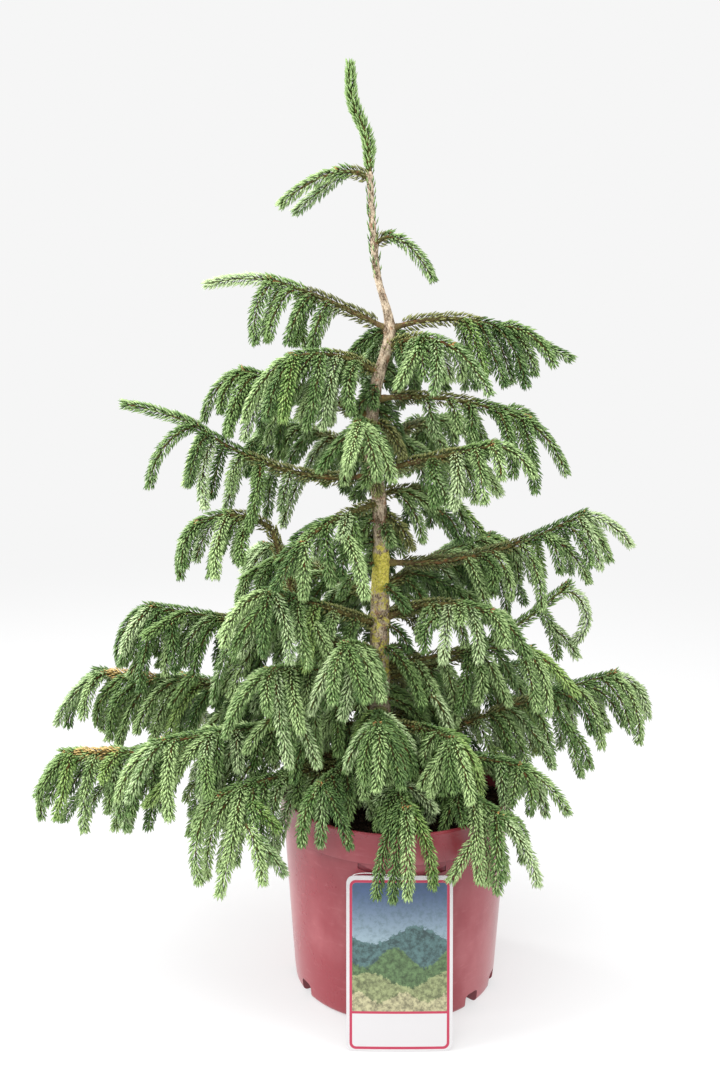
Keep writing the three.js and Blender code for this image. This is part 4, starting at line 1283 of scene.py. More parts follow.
def settle(piece, slot, *nodes):
    """The piece rides on the plant's one body and stands for these nodes."""
    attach(piece, "root")
    if nodes:
        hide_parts(*nodes)


# The lines that wood and needles follow
def trunk_line(**reading):
    return Line(Path(trunk_points()), (0, 1, 0), **reading)


def leader_line():
    return Line(Path(leader_points()), (0, 1, 0))


def stem_line(limb, start=0.0, end=1.0, steps=STEM_LINE_STEPS):
    return Line(Path(limb["stem"]), direction(limb["heading"] + 90, 0), start, end, steps)


def shoot_line(shoot):
    return Line(Path(shoot["points"]), direction(shoot["heading"] + 90, 0), steps=SHOOT_LINE_STEPS)


def around(top, side, turn):
    """The way out of a line for each turn about it, from its top."""
    return top * np.cos(turn)[:, None] + side * np.sin(turn)[:, None]


SHORTEST_ROW = 4
FEWEST_NEEDLES = 6
PLACE_JITTER = 0.4
TUFT_FROM = 0.975
TURN_JITTER = 14
# The least share of its turn from the top that a needle keeps
TURN_KEPT = 0.76
LEAN_LESS_OUTWARDS = 14
LEAN_JITTER = 7
TUFT_LEAN = (4, 34)
NEEDLE_SIZES = (0.86, 1.12)
# Needles grow to their full size over the foot of a shoot, and are shorter again towards its tip
FOOT_SIZE = (0.7, 3)
TIP_SIZE = (0.82, 0.9, 0.84)
NEEDLE_ROOT_SHARE = 0.7

# How needles stand on each kind of wood: share of the usual number, lean on top and at the sides,
# stretch, needles in the tuft at the end, room before the end, and radius of the wood
NEEDLE_STANDS = dict(
    shoot=(1, (26, 49), 1.0, 9, 4.0, 1.0),
    leader=(1.6, (26, 46), 1.0, 9, 4.0, 1.0),
    old=(0.8, (34, 50), 0.86, 1, 0, 2.6),
    young=(0.9, (30, 46), 0.92, 2, 0, 2.0),
    bough=(0.9, (30, 50), 0.92, 1, 0, 3.0),
    trunk=(0.22, (12, 22), 1.05, 1, 0, 2.8),
)


def needles_along(line, density, draws, stand="shoot"):
    """Where the needles of one shoot stand, how they point and how long they are."""
    density_share, lean, stretch, tuft, end_room, wood = NEEDLE_STANDS[stand]
    length = max(line.length - end_room, SHORTEST_ROW)
    count = max(int(length * (density * density_share)), FEWEST_NEEDLES)
    jitter = draws.uniform(-PLACE_JITTER, PLACE_JITTER, count)
    share = np.clip((np.arange(count) + jitter) / count, 0, 1)
    share = np.concatenate([share, draws.uniform(TUFT_FROM, 1.0, tuft)])
    count += tuft
    middle, ahead, side, top = line.read(share * length)
    turn = np.arange(count) * GOLDEN_ANGLE + draws.uniform(-TURN_JITTER, TURN_JITTER, count)
    turn = (turn + 180) % 360 - 180
    # Needles from the underside part towards the sides, and those on top lie flatter
    turn = turn * (TURN_KEPT + (1 - TURN_KEPT) * np.abs(turn) / 180)
    radial = around(top, side, turn * DEGREE)
    flat = np.sin(np.minimum(np.abs(turn), 90) * DEGREE)
    angle = lean[0] + (lean[1] - lean[0]) * flat - LEAN_LESS_OUTWARDS * share ** 3
    angle = angle + draws.uniform(-LEAN_JITTER, LEAN_JITTER, count)
    angle[count - tuft:] = draws.uniform(*TUFT_LEAN, tuft)
    aim = unit(ahead * np.cos(angle * DEGREE)[:, None] + radial * np.sin(angle * DEGREE)[:, None])
    full = np.clip(FOOT_SIZE[0] + share * FOOT_SIZE[1], 0, 1)
    full = full * np.clip(1 - (share - TIP_SIZE[0]) * TIP_SIZE[1], TIP_SIZE[2], 1)
    return dict(
        place=middle + radial * wood * NEEDLE_ROOT_SHARE,
        aim=aim,
        up=unit(ahead - aim * (ahead * aim).sum(1)[:, None]),
        size=full * stretch * draws.uniform(*NEEDLE_SIZES, count),
        tint=np.clip(draws.uniform(0, 0.5) + draws.uniform(0, 0.5, count), 0, 1),
    )


def joined(parts):
    return {key: np.concatenate([part[key] for part in parts]) for key in parts[0]}


# The share of sprays up to which each needle kind is dealt, for each kind of shoot
KIND_SHARES = {
    "main": (("deep", 0.16), ("mid", 0.64), ("fresh", 0.71), ("pale", 1)),
    "finer": (("deep", 0.34), ("mid", 0.8), ("fresh", 0.86), ("pale", 1)),
    # The trunk's sprigs inside the crown get mostly the deep green as painted shade, and some the bronze of
    # old needles
    "inner": (("deep", 0.8), ("bronze", 0.92), ("mid", 1)),
}


def kind_of(value, kind):
    return next(name for name, top in KIND_SHARES[kind] if value <= top)


# The sizes and colours that a user may change
def length_property(name, description, default):
    return FloatProperty(name=name, description=description, default=default, unit="LENGTH")


def colour_property(name, description, *screen):
    return FloatVectorProperty(name=name, description=description, default=linear(*screen), subtype="COLOR")


class SpruceSettings(bpy.types.PropertyGroup):
    needle_length: length_property("Needle length", "Length of a full-grown needle", 0.0082)
    needle_width: length_property("Needle width", "Width of a needle where it is widest", 0.00155)
    needle_density: FloatProperty(
        name="Needles per millimetre", description="How many needles a shoot carries for each millimetre",
        default=3.4, min=0.5, max=5
    )
    bark_depth: length_property("Bark depth", "Depth of the relief of the trunk's bark", 0.0008)
    trunk_sides: IntProperty(name="Trunk sides", description="Sides of the trunk's mesh", default=56, min=12)
    bark_dark: colour_property("Dark bark", "Bark in its furrows", 88, 70, 52)
    bark_light: colour_property("Light bark", "Bark on its plates", 214, 195, 170)
    twig_dark: colour_property("Dark twig", "Young bark in the shade", 58, 58, 30)
    twig_light: colour_property("Light twig", "Young bark in the light", 116, 106, 60)
    pot_colour: colour_property("Pot", "Plastic of the pot", 138, 46, 56)
    pot_haze: colour_property("Pot haze", "Scuffed and dusty plastic", 192, 122, 126)
    peat_dark: colour_property("Dark peat", "Peat in its hollows", 34, 24, 18)
    peat_light: colour_property("Light peat", "Peat on its crumbs", 88, 66, 50)
    floor_colour: colour_property("Floor", "Floor of the studio", 234, 234, 235)


def settings():
    return bpy.context.scene.spruce


def colours_of(*names):
    return [tuple(getattr(settings(), name)) for name in names]


CAMERA_LENS = 44.27
CAMERA_NEAR = 0.05
CAMERA_PLACE = (-0.0302, -1.0516, 0.6367)
CAMERA_PITCH = 13.36
STUDIO_WHITE = linear(246, 246, 246)
STUDIO_LEVEL = 1.0
FLOOR_HALF_WIDTH = 6.0
FLOOR_CLOUD = 0.97
# Near and far distance of the floor's glow, and how much of it there is at each
# Far off the glow fades the floor into the backdrop; near the pot it is painted light that thins the shade
# cast on the floor
FLOOR_GLOW = (0.1, 1.6, 0.58, 1.0)
# Name, place, point that it looks at, width and height, and power
STUDIO_LIGHTS = (
    ("Top light", (-0.4, -0.4, 2.4), (0, 0, 0.3), (1.8, 1.8), 35),
    ("Left light", (-1.9, -0.7, 0.8), (0, 0, 0.3), (0.5, 1.8), 26),
    ("Left edge light", (-1.75, 1.0, 0.7), (0, 0, 0.2), (0.4, 1.4), 28),
    ("Right light", (1.9, -0.2, 0.7), (0, 0, 0.25), (0.4, 1.6), 3),
    ("High right light", (1.5, -0.9, 1.7), (0.05, 0, 0.5), (0.7, 1.0), 14),
    ("Front light", (-0.4, -2.6, 1.7), (0, 0, 0.4), (1.6, 1.2), 19),
)


def floor_material(pale):
    """A pale floor that fades into the backdrop, and glows in part near the pot as painted light."""
    material, nodes, shader = new_material("pale floor")
    tone = nodes.mix(nodes.noise(3.0, 2.0), pale, tuple(part * FLOOR_CLOUD for part in pale))
    nodes.fill(shader, dict(Base_Color=tone, Roughness=0.6, Specular_IOR_Level=0.2))
    far = nodes.add("ShaderNodeVectorMath", {0: nodes.place()}, operation="LENGTH").outputs["Value"]
    # The glow's share: painted light near the pot, and the backdrop's white far off
    fade = nodes.ramp(far, *FLOOR_GLOW)
    glow = nodes.add("ShaderNodeEmission", {"Color": (*STUDIO_WHITE, 1), "Strength": STUDIO_LEVEL})
    mixed = nodes.add("ShaderNodeMixShader", {0: fade, 1: shader.outputs[0], 2: glow.outputs[0]})
    output = next(node for node in nodes.tree.nodes if node.type == "OUTPUT_MATERIAL")
    nodes.tree.links.new(mixed.outputs[0], output.inputs["Surface"])
    return material


class SPRUCE_OT_stage(bpy.types.Operator):
    """Makes the camera, the soft studio lights and the pale floor"""

    bl_idname = "spruce.make_stage"
    bl_label = "Stage"

    def execute(self, context):
        scene = context.scene
        lens = bpy.data.cameras.new("Camera")
        lens.lens = CAMERA_LENS
        lens.clip_start = CAMERA_NEAR
        camera = shown("Camera", lens)
        camera.location = CAMERA_PLACE
        camera.rotation_euler = Euler(((90 - CAMERA_PITCH) * DEGREE, 0, 0))
        scene.camera = camera
        for name, place, aim, size, power in STUDIO_LIGHTS:
            light = bpy.data.lights.new(name, "AREA")
            light.shape = "RECTANGLE"
            light.size, light.size_y = size
            light.energy = power
            lamp = shown(name, light)
            lamp.location = place
            lamp.rotation_euler = (Vector(aim) - Vector(place)).to_track_quat("-Z", "Y").to_euler()
        world = bpy.data.worlds.new("Studio")
        world.use_nodes = True
        backdrop = world.node_tree.nodes["Background"].inputs
        backdrop[0].default_value = (*STUDIO_WHITE, 1)
        backdrop[1].default_value = STUDIO_LEVEL
        scene.world = world
        scene.view_settings.view_transform = "Standard"
        scene.view_settings.look = "None"
        mesh = bpy.data.meshes.new("floor")
        half = FLOOR_HALF_WIDTH
        corners = [(-half, -half, 0), (half, -half, 0), (half, half, 0), (-half, half, 0)]
        mesh.from_pydata(corners, [], [(0, 1, 2, 3)])
        mesh.materials.append(floor_material(*colours_of("floor_colour")))
        shown("floor", mesh)
        return {"FINISHED"}


TRUNK_RING_STEP = 1.3
TRUNK_BARK_SEED = 7
# Ridges that run up from the roots: how many, their turn, depth as a share of the radius and height
ROOT_RIDGES = ((5, 0.7, 0.16, 11), (3, 2, 0.07, 30))
# The collar round each limb's foot
COLLAR_PLACE = 0.01
COLLAR_HEIGHT = 1.1
COLLAR_GIRTHS = 1.05
# The radius from which the bark is as deep as it gets, and the least share of its depth
FULL_BARK_RADIUS = 8
LEAST_BARK = 0.45
BOUGH_RING_STEP = 1.2
BOUGH_SIDES = 24
BOUGH_SWELL = 0.35
BOUGH_SWELL_LENGTH = 5
BOUGH_BARK_SHARE = 0.75
BOUGH_BARK_SEED = 30


def trunk_tube(limbs, depth, sides):
    line = trunk_line(steps=TRUNK_LINE_STEPS)
    along = np.linspace(0, line.length, int(line.length / TRUNK_RING_STEP))
    middle = line.read(along)[0]
    turns = np.arange(sides) * 2 * math.pi / sides
    height = middle[:, 2] - SOIL_LEVEL
    ridges = 1
    for count, turn, share, fade in ROOT_RIDGES:
        ridges = ridges + share * np.sin(count * turns + turn)[None] * np.exp(-height / fade)[:, None]
    roots = np.array([
        limb_point(limb, COLLAR_PLACE) + direction(limb["heading"], 0) * trunk_radius(limb["rise"])
        for limb in limbs
    ])
    girths = np.array([limb["girth"] for limb in limbs])

    def relief(points):
        near = np.linalg.norm(points[:, None] - roots[None], axis=2)
        collars = (COLLAR_HEIGHT * np.exp(-((near / (girths * COLLAR_GIRTHS)) ** 2))).max(axis=1)
        thin = np.clip(trunk_radius(points[:, 2]) / FULL_BARK_RADIUS, LEAST_BARK, 1)
        return bark_relief(points, depth * thin, TRUNK_BARK_SEED) + collars

    return tube(line, along, trunk_radius(middle[:, 2])[:, None] * ridges, sides, relief)


def bough_tube(limb, depth, seed):
    points = limb_points(limb, 0, limb["bare"], BOUGH_STEPS)
    line = Line(Path(points), direction(limb["heading"] + 90, 0))
    along = np.linspace(0, line.length, int(line.length / BOUGH_RING_STEP))
    foot = limb["girth"] / 2
    tip = max(STEM_CORE, foot * BOUGH_TAPER)
    radius = foot + (tip - foot) * along / line.length
    past_bark = (along - trunk_radius(limb["rise"])) / BOUGH_SWELL_LENGTH
    swell = 1 + BOUGH_SWELL * np.exp(-past_bark ** 2)
    return tube(
        line, along, radius * swell, BOUGH_SIDES,
        lambda points: bark_relief(points, depth * BOUGH_BARK_SHARE, seed),
    )


class SPRUCE_OT_wood(bpy.types.Operator):
    """Makes the trunk and the bare boughs with the relief of their bark"""

    bl_idname = "spruce.make_wood"
    bl_label = "Trunk and boughs"

    def execute(self, context):
        limbs, _ = grown_plant()
        depth = settings().bark_depth / MM
        bark = wood_material("trunk bark", *colours_of("bark_dark", "bark_light"), lichen=True)
        trunk = trunk_tube(limbs, depth, settings().trunk_sides)
        settle(made("trunk_bark", bark, [trunk]), "bark", "trunk")
        bare = [limb for limb in limbs if limb["bare"] > 0]
        boughs = [bough_tube(limb, depth, BOUGH_BARK_SEED + index) for index, limb in enumerate(bare)]
        wood = wood_material("bough bark", *colours_of("bark_dark", "twig_light"))
        settle(made("bough_bark", wood, boughs), "bark", *("bough_" + limb["name"] for limb in bare))
        return {"FINISHED"}


STEM_RING_STEP = 2.2
FEWEST_RINGS = 12
# Foot radius of a stem that grows from the trunk itself, radius of every stem's tip, and its taper
STEM_FOOT = 2.7
STEM_TIP = 1.1
STEM_TAPER = 0.8
STEM_SIDES = 10
STEM_BARK_DEPTH = 0.3
STEM_BARK_SEED = 60
# Foot and tip radius of a plain tube, rings, sides and room before the end of its line
TWIG_TUBE = (1.1, 0.6, 7, 4, 3.5)
LEADER_TUBE = (2.1, 0.9, 24, 10, 4)


def plain_tube(line, foot, tip, rings, sides, end_room):
    along = np.linspace(0, line.length - end_room, rings)
    return tube(line, along, np.linspace(foot, tip, rings), sides)


def stem_tube(limb, seed):
    line = stem_line(limb)
    along = np.linspace(0, line.length, max(int(line.length / STEM_RING_STEP), FEWEST_RINGS))
    foot = max(STEM_CORE, limb["girth"] / 2 * BOUGH_TAPER) if limb["bare"] > 0 else STEM_FOOT
    radius = foot + (STEM_TIP - foot) * (along / line.length) ** STEM_TAPER
    return tube(
        line, along, radius, STEM_SIDES, lambda points: bark_relief(points, STEM_BARK_DEPTH, seed)
    )


class SPRUCE_OT_twigs(bpy.types.Operator):
    """Makes the stems and twigs that carry the needles"""

    bl_idname = "spruce.make_twigs"
    bl_label = "Stems and twigs"

    def execute(self, context):
        limbs, shoots = grown_plant()
        stems = [stem_tube(limb, STEM_BARK_SEED + index) for index, limb in enumerate(limbs)]
        stems.append(plain_tube(leader_line(), *LEADER_TUBE))
        twigs = [plain_tube(shoot_line(shoot), *TWIG_TUBE) for shoot in shoots]
        bark = wood_material("young bark", *colours_of("twig_dark", "twig_light"), depth=0.0003)
        settle(made("stem_wood", bark, stems), "bark")
        settle(made("twig_wood", bark, twigs), "bark")
        return {"FINISHED"}


NEEDLE_SEED = 17
KIND_SEED = 500
NEEDLES_A_PIECE = 32000
# The needles' form: share of the length where they are widest, half width, and sag
NEEDLE_RINGS = ((0.6, 0.5, -0.25),)
NEEDLE_SIDES = 3
# Up to where a stem's needles are old and from where they are young, as shares of the stem, and from
# which share of the trunk it carries needles
OLD_NEEDLES_TO = 0.55
YOUNG_NEEDLES_FROM = 0.5
TRUNK_NEEDLES_FROM = 0.84
# Where the needles on a limb's stem have gone dry and golden, as shares of the stem
DRY_STRETCHES = dict(left_low=(0.66, 0.92), left_lowest=(0.72, 0.93))


def needle_places(density):
    """Where the needles of each kind stand on the whole plant."""
    draws = np.random.default_rng(NEEDLE_SEED)
    limbs, shoots = grown_plant()
    parts = {kind: [] for kind in NEEDLE_KINDS}

    def clad(kind, line, stand):
        parts[kind].append(needles_along(line, density, draws, stand))

    for limb in limbs:
        clad("bronze", stem_line(limb, 0, OLD_NEEDLES_TO, LINE_STEPS), "old")
        dry_from, dry_to = DRY_STRETCHES.get(limb["name"], (1, 1))
        young = (("deep", YOUNG_NEEDLES_FROM, dry_from), ("golden", dry_from, dry_to), ("deep", dry_to, 1))
        for kind, start, end in young:
            if end > start:
                clad(kind, stem_line(limb, start, end, LINE_STEPS), "young")
        if limb["bare"] > 0:
            wood = Path(limb_points(limb, WOOD_START_SHARE, limb["bare"], BOUGH_STEPS))
            clad("bronze", Line(wood, direction(limb["heading"] + 90, 0)), "bough")
    pick = seeded(KIND_SEED)
    for shoot in shoots:
        clad(kind_of(pick(), shoot["kind"]), shoot_line(shoot), "shoot")
    clad("deep", leader_line(), "leader")
    clad("deep", trunk_line(start=TRUNK_NEEDLES_FROM), "trunk")
    return {kind: joined(rows) for kind, rows in parts.items()}


class SPRUCE_OT_needles(bpy.types.Operator):
    """Clads every shoot and stem in needles, each kind in pieces of its own"""

    bl_idname = "spruce.make_needles"
    bl_label = "Needles"

    def execute(self, context):
        sizes = settings()
        places = needle_places(sizes.needle_density)
        form = form_of("needle form", NEEDLE_RINGS, NEEDLE_SIDES)
        limbs, _ = grown_plant()
        foliage = ["foliage_leader"] + ["foliage_" + limb["name"] for limb in limbs]
        for kind, (dark, light) in NEEDLE_KINDS.items():
            material = needle_material(kind + " needles", dark, light)
            pieces = math.ceil(len(places[kind]["place"]) / NEEDLES_A_PIECE)
            for part in range(pieces):
                chosen = {key: values[part::pieces] for key, values in places[kind].items()}
                name = "needles_" + kind + ("_" + str(part + 1) if pieces > 1 else "")
                piece = spread(
                    name, form, chosen, sizes.needle_length / MM, sizes.needle_width / MM, material
                )
                settle(piece, "needles", *(foliage if kind == "mid" and part == 0 else ()))
        remove(form)
        return {"FINISHED"}


BUD_SEED = 23
BUD_RINGS = ((0.45, 1.0, 0.0),)
BUD_SIDES = 4
BUD_LENGTH = 3.2
BUD_WIDTH = 0.85
BUD_COLOURS = (linear(112, 74, 40), linear(196, 148, 86))
# How many buds, how far along, how far round, how far out, lean, and sizes: for the scales at a shoot's
# foot, in millimetres along it, and for the buds at a stem's end, in shares of it
FOOT_SCALES = (3, (1.2, 3.2), (0, 360), 0.8, 0.7, (0.5, 0.8))
END_BUDS = (9, (0.93, 0.99), (-80, 80), 1.2, 1.2, (1.0, 1.7))


def buds_on(line, length, draws, count, along, turns, out, lean, sizes):
    """Where a few buds stand on a line, whose distances along are shares of a length."""
    middle, ahead, side, top = line.read(length * draws.uniform(*along, count))
    radial = around(top, side, draws.uniform(*turns, count) * DEGREE)
    return dict(
        place=middle + radial * out, aim=unit(ahead + radial * lean), up=radial,
        size=draws.uniform(*sizes, count), tint=draws.uniform(0, 1, count),
    ), ahead


class SPRUCE_OT_buds(bpy.types.Operator):
    """Sets the brown bud scales at the foot of the shoots and the buds at the stems' ends"""

    bl_idname = "spruce.make_buds"
    bl_label = "Buds"

    def execute(self, context):
        draws = np.random.default_rng(BUD_SEED)
        limbs, shoots = grown_plant()
        parts = [buds_on(shoot_line(shoot), 1, draws, *FOOT_SCALES)[0] for shoot in shoots]
        for limb in limbs:
            line = stem_line(limb)
            buds, ahead = buds_on(line, line.length, draws, *END_BUDS)
            parts.append(dict(buds, up=ahead))
        form = form_of("bud form", BUD_RINGS, BUD_SIDES)
        material = needle_material("bud scales", *BUD_COLOURS, 0.6)
        settle(spread("buds", form, joined(parts), BUD_LENGTH, BUD_WIDTH, material), "needles")
        remove(form)
        return {"FINISHED"}


def wall_radius(height):
    return POT_FOOT_RADIUS + POT_FLARE * min(height, POT_SHOULDER) / POT_SHOULDER


def block(corners_low, corners_high):
    """A closed block between two outlines of the same number of corners."""
    count = len(corners_low)
    faces = [tuple(range(count))[::-1], tuple(range(count, 2 * count))]
    faces += [(k, (k + 1) % count, count + (k + 1) % count, count + k) for k in range(count)]
    corners = np.array(list(corners_low) + list(corners_high), float)
    across = np.cross(corners[1] - corners[0], corners[count - 1] - corners[0])
    if across @ (corners[count] - corners[0]) < 0:
        faces = [face[::-1] for face in faces]
    return corners, faces


def cut(piece, cutter):
    """Cuts one mesh out of another for good."""
    modifier = piece.modifiers.new("Cut", "BOOLEAN")
    modifier.operation = "DIFFERENCE"
    modifier.solver = "EXACT"
    modifier.material_mode = "TRANSFER"
    modifier.object = cutter
    bpy.context.view_layer.update()
    graph = bpy.context.evaluated_depsgraph_get()
    real = bpy.data.meshes.new_from_object(piece.evaluated_get(graph), depsgraph=graph)
    piece.modifiers.clear()
    piece.data = real
    remove(cutter)


def smoothed(piece, sharp_angle):
    piece.data.shade_smooth()
    piece.data.set_sharp_from_angle(angle=sharp_angle * DEGREE)


def rounded(across, up, radius, first, steps):
    """Points of a quarter circle from its first angle on."""
    turns = [(first + step * 90 / steps) * DEGREE for step in range(steps + 1)]
    return [(across + radius * math.cos(turn), up + radius * math.sin(turn)) for turn in turns]


def notch_block(heading):
    """A drain notch through the foot of the wall, as an upright arch."""
    half = NOTCH_WIDTH / 2
    outline = [(-half, -NOTCH_BELOW), (half, -NOTCH_BELOW)]
    for centre, first in ((half - NOTCH_ROUND, 0), (NOTCH_ROUND - half, 90)):
        outline += rounded(centre, NOTCH_HEIGHT - NOTCH_ROUND, NOTCH_ROUND, first, NOTCH_ROUND_STEPS)
    out, side = direction(heading, 0), direction(heading + 90, 0)
    outer, inner = (
        [out * distance + side * across + np.array((0, 0, up)) for across, up in outline]
        for distance in (POT_FOOT_RADIUS + NOTCH_DEPTH, POT_FOOT_RADIUS - NOTCH_DEPTH)
    )
    return block(outer, inner)


def hollow_block(far, near, low, high):
    """The narrow hollow under the rim, which runs to a point towards the middle of the pot's front."""
    knee = near + (far - near) * HOLLOW_LOW_SHARE
    outline = ((far, high), (far, high - HOLLOW_RISE), (knee, low), (near, low))
    inner, outer = (
        [(x, -math.sqrt((wall_radius(z) - depth) ** 2 - x * x), z) for x, z in outline]
        for depth in (HOLLOW_DEPTH, -HOLLOW_OUTSIDE)
    )
    return block(inner, outer)


def pot_profile():
    """The pot's outline from the middle of its underside, over the rim to the middle of its floor."""
    rim, wall, ring = POT_RIM_RADIUS, POT_WALL, POT_FOOT_RADIUS - POT_RING_WIDTH
    profile = [(0, POT_RECESS), (ring - POT_RING_SLOPE, POT_RECESS), (ring, 0)]
    profile += rounded(
        POT_FOOT_RADIUS - POT_EDGE_ROUND, POT_EDGE_ROUND, POT_EDGE_ROUND, -90, POT_EDGE_STEPS
    )
    heights = (*POT_WALL_HEIGHTS, POT_SHOULDER - POT_BAND_GAP)
    profile += [(wall_radius(height), height) for height in heights]
    profile += [(wall_radius(POT_SHOULDER) + POT_BAND_STEP, POT_SHOULDER)]
    profile += [(rim - inset, POT_SHOULDER + over) for inset, over in POT_BAND_CORNERS]
    profile += [(rim - inset, POT_HEIGHT - under) for inset, under in POT_LIP_CORNERS]
    profile += [(rim - wall - POT_INNER_BAND[0], POT_SHOULDER + POT_INNER_BAND[1])]
    profile += [(wall_radius(POT_SHOULDER) - wall, POT_SHOULDER - POT_INNER_DROP)]
    return profile + [(wall_radius(POT_FLOOR) - wall, POT_FLOOR), (0, POT_FLOOR)]


class SPRUCE_OT_pot(bpy.types.Operator):
    """Makes the nursery pot with its rim band, drain notches and hollows under the rim"""

    bl_idname = "spruce.make_pot"
    bl_label = "Pot"

    def execute(self, context):
        colour, haze = colours_of("pot_colour", "pot_haze")
        plastic = pot_material("raspberry plastic", colour, haze)
        # The cut faces of the notches and hollows take this darker copy of the plastic, which is painted
        # shade
        shaded = pot_material("shaded plastic", POT_SHADE, colour)
        pot = made("pot_shell", plastic, [turned(pot_profile(), POT_SIDES)], smooth=False)
        cuts = [notch_block(pair + half * NOTCH_SPLIT) for pair in NOTCH_PAIRS for half in (-0.5, 0.5)]
        cuts += [hollow_block(*hollow) for hollow in HOLLOWS]
        cut(pot, made("cuts", shaded, cuts, smooth=False))
        smoothed(pot, POT_SHARP_ANGLE)
        settle(pot, "pot_plastic", "pot")
        return {"FINISHED"}


def soil_height(radius):
    """The height of the smooth dome that the peat's lumps stand on."""
    return SOIL_LEVEL - SOIL_DOME + SOIL_DOME * (1 - (radius / SOIL_RADIUS) ** 2)


def soil_lumps(points):
    """How far the lumps of the peat stand up or lie low at each point."""
    broad, small = (noise(points, (cell, cell, cell), seed) - 0.5 for cell, seed in LUMP_NOISES)
    return LUMP_HEIGHT * (broad + SMALL_LUMP_SHARE * small)


def soil_bed():
    low = POT_FLOOR + CLEAR
    profile = [(0, low)]
    profile += [(wall_radius(height) - POT_WALL - CLEAR, height) for height in (low, SOIL_KNEE)]
    profile += [(SOIL_RADIUS, SOIL_LEVEL - SOIL_DOME)]
    rings = np.linspace(SOIL_RADIUS - SOIL_RING_ROOM, SOIL_RING_ROOM, SOIL_RINGS)
    profile += [(radius, soil_height(radius)) for radius in rings]
    corners, faces = turned(profile + [(0, SOIL_LEVEL)], SOIL_SIDES)
    raised = np.clip((corners[:, 2] - LUMPS_FROM) / LUMPS_FULL_AFTER, 0, 1)
    corners[:, 2] += raised * (soil_lumps(corners) + SOIL_LIFT)
    return corners, faces


def crumb_places():
    draws = np.random.default_rng(CRUMB_SEED)
    count = CRUMB_COUNT
    radius = SOIL_RADIUS * np.sqrt(draws.uniform(*CRUMB_AREA, count))
    turn = draws.uniform(0, 2 * math.pi, count)
    x, y = radius * np.cos(turn), radius * np.sin(turn)
    lift = soil_lumps(np.column_stack([x, y, np.full(count, float(SOIL_LEVEL))])) + CRUMB_LIFT
    aim = unit(draws.normal(size=(count, 3)) * (1, 1, CRUMB_UPRIGHT))
    return dict(
        place=np.column_stack([x, y, soil_height(radius) + lift]),
        aim=aim,
        up=unit(draws.normal(size=(count, 3))),
        size=draws.uniform(*CRUMB_SIZES, count) ** CRUMB_SIZE_POWER,
        tint=draws.uniform(0, 1, count),
    )


# The crumbs' form: place along it, radius and rise of each ring, its sides and its two ends
CRUMB_RINGS = ((0.1, 0.7, 0.1), (0.45, 1.0, -0.1), (0.85, 0.6, 0.15))
CRUMB_SIDES = 5
CRUMB_ENDS = (-0.05, 1.02)


class SPRUCE_OT_peat(bpy.types.Operator):
    """Makes the peat with its uneven top and loose crumbs"""

    bl_idname = "spruce.make_peat"
    bl_label = "Peat"

    def execute(self, context):
        material = peat_material(*colours_of("peat_dark", "peat_light"))
        settle(made("peat_bed", material, [soil_bed()]), "peat", "soil")
        form = form_of("crumb form", CRUMB_RINGS, CRUMB_SIDES, CRUMB_ENDS)
        crumbs = spread("peat_crumbs", form, crumb_places(), CRUMB_LENGTH, CRUMB_WIDTH, material)
        settle(crumbs, "peat")
        remove(form)
        return {"FINISHED"}


def card_sheet():
    """The card lying flat and slightly bowed, as two layers joined round the edge."""
    turns = np.linspace(0, 90, CARD_CORNER_STEPS) * DEGREE
    rows = np.concatenate([
        CARD_CORNER * (1 - np.cos(turns)),
        np.linspace(CARD_CORNER, CARD_HEIGHT - CARD_CORNER, CARD_ROWS)[1:-1],
        CARD_HEIGHT - CARD_CORNER + CARD_CORNER * np.sin(turns),
    ])
    reach = np.maximum(np.maximum(CARD_CORNER - rows, rows - (CARD_HEIGHT - CARD_CORNER)), 0)
    half = CARD_WIDTH / 2 - CARD_CORNER + np.sqrt(np.maximum(CARD_CORNER ** 2 - reach ** 2, 0))
    x = half[:, None] * np.linspace(-1, 1, CARD_COLUMNS)[None]
    y = np.broadcast_to(rows[:, None], x.shape)
    belly = CARD_BELLY * np.sin(y / CARD_HEIGHT * math.pi)
    bow = CARD_BOW * (1 - (x / (CARD_WIDTH / 2)) ** 2) + belly
    corners = np.concatenate([np.stack([x, y, bow + z], 2).reshape(-1, 3) for z in (0, CARD_THICK)])
    spots = np.arange(x.size).reshape(x.shape)
    faces = []
    for a in spots[:-1, :-1].ravel().tolist():
        b, c, d = a + 1, a + CARD_COLUMNS + 1, a + CARD_COLUMNS
        faces += [(a, d, c, b), tuple(x.size + corner for corner in (a, b, c, d))]
    rim = [*spots[0], *spots[1:, -1], *spots[-1, -2::-1], *spots[-2:0:-1, 0]]
    faces += [(a, b, b + x.size, a + x.size) for a, b in zip(rim, rim[1:] + rim[:1])]
    return corners, faces


def set_card_map(card, corners):
    """Gives the card its own map, from 0 to 1 across it and up it."""
    layer = card.data.uv_layers.new(name="card")
    spots = np.stack([corners[:, 0] / CARD_WIDTH + 0.5, corners[:, 1] / CARD_HEIGHT], 1)
    loops = np.empty(len(card.data.loops), np.int32)
    card.data.loops.foreach_get("vertex_index", loops)
    layer.data.foreach_set("uv", spots[loops].astype(np.float32).ravel())


def card_hole():
    turns = np.arange(CARD_HOLE_SIDES) * 360 / CARD_HOLE_SIDES * DEGREE
    across = CARD_HOLE_RADIUS * np.cos(turns)
    up = CARD_HEIGHT - CARD_HOLE_DROP + CARD_HOLE_RADIUS * np.sin(turns)
    return block(*([(*spot, z) for spot in zip(across, up)] for z in CARD_HOLE_CUT))


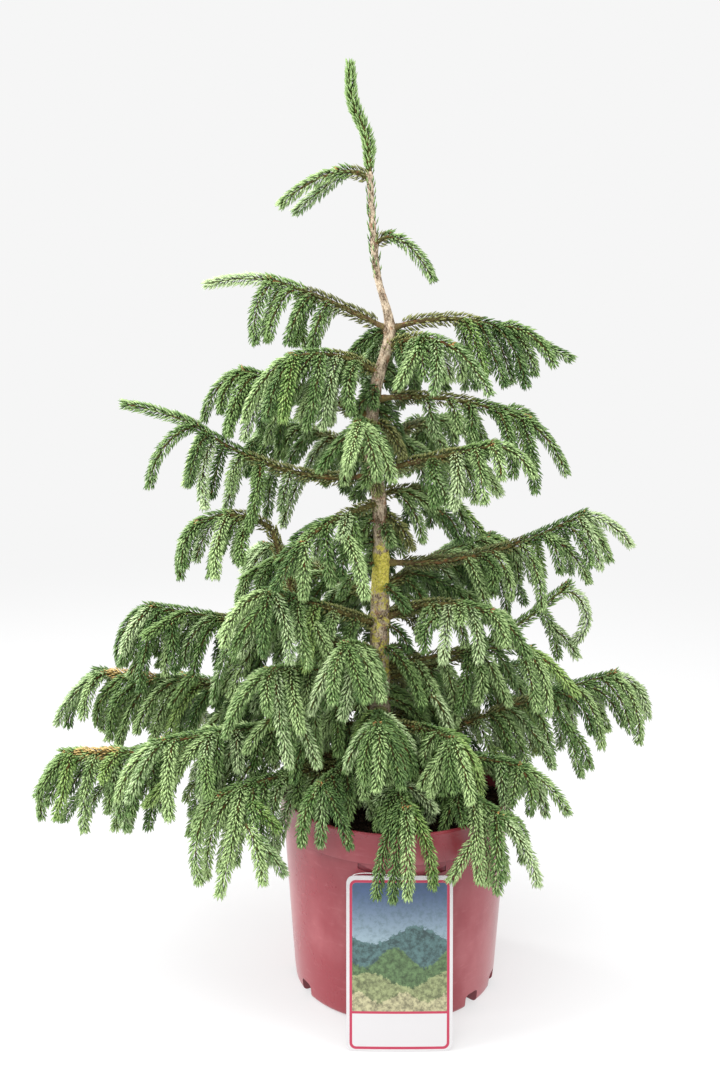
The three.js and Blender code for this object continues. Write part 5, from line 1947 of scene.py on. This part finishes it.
def card_stand():
    """The turn and move that lean the flat card on the pot's front."""
    lean = CARD_LEAN * DEGREE
    top = CARD_HEIGHT * math.cos(lean) + CARD_LIFT
    rest = wall_radius(top) + CLEAR + CARD_THICK / math.cos(lean)
    stand = Euler((math.pi / 2 - lean, 0, 0)).to_matrix().to_4x4()
    back = -rest - CARD_HEIGHT * math.sin(lean) + CARD_THICK
    stand.translation = Vector((CARD_OFFSET, back, CARD_LIFT)) * MM
    return stand


class SPRUCE_OT_card(bpy.types.Operator):
    """Makes the card that leans on the pot and the thin thread through its hole"""

    bl_idname = "spruce.make_card"
    bl_label = "Card"

    def execute(self, context):
        finish, sheet = card_material(), card_sheet()
        card = made("card", finish, [sheet], smooth=False)
        set_card_map(card, sheet[0])
        cut(card, made("hole", finish, [card_hole()], smooth=False))
        card.data.transform(card_stand())
        smoothed(card, CARD_SHARP_ANGLE)
        settle(card, "card", "label_card")
        cotton, nodes, shader = new_material("white thread")
        tone = nodes.mix(nodes.noise(900.0, 2.0), linear(225, 222, 220), linear(250, 249, 248))
        nodes.fill(shader, dict(Base_Color=tone, Roughness=0.5))
        line = Line(Path(THREAD_POINTS), (0, 0, 1), steps=THREAD_STEPS)
        thread = plain_tube(line, THREAD_RADIUS, THREAD_RADIUS, THREAD_STEPS, THREAD_SIDES, 0)
        settle(made("card_thread", cotton, [thread]), "card")
        return {"FINISHED"}


OPERATORS = (
    SPRUCE_OT_stage, SPRUCE_OT_wood, SPRUCE_OT_twigs, SPRUCE_OT_needles,
    SPRUCE_OT_buds, SPRUCE_OT_pot, SPRUCE_OT_peat, SPRUCE_OT_card,
)


class SPRUCE_PT_panel(bpy.types.Panel):
    """Lists the pieces of the potted spruce"""

    bl_idname = "SPRUCE_PT_panel"
    bl_label = "Potted spruce"
    bl_space_type = "VIEW_3D"
    bl_region_type = "UI"
    bl_category = "Spruce"

    def draw(self, context):
        for name in SpruceSettings.__annotations__:
            self.layout.prop(context.scene.spruce, name)
        for operator in OPERATORS:
            self.layout.operator(operator.bl_idname)


CLASSES = (SpruceSettings, *OPERATORS, SPRUCE_PT_panel)


def register():
    for kind in CLASSES:
        bpy.utils.register_class(kind)
    bpy.types.Scene.spruce = PointerProperty(type=SpruceSettings)


def unregister():
    del bpy.types.Scene.spruce
    for kind in reversed(CLASSES):
        bpy.utils.unregister_class(kind)


def main():
    register()
    for operator in OPERATORS:
        group, name = operator.bl_idname.split(".")
        if getattr(getattr(bpy.ops, group), name)() != {"FINISHED"}:
            raise RuntimeError(operator.bl_label + " was not made")


if __name__ == "__main__":
    main()
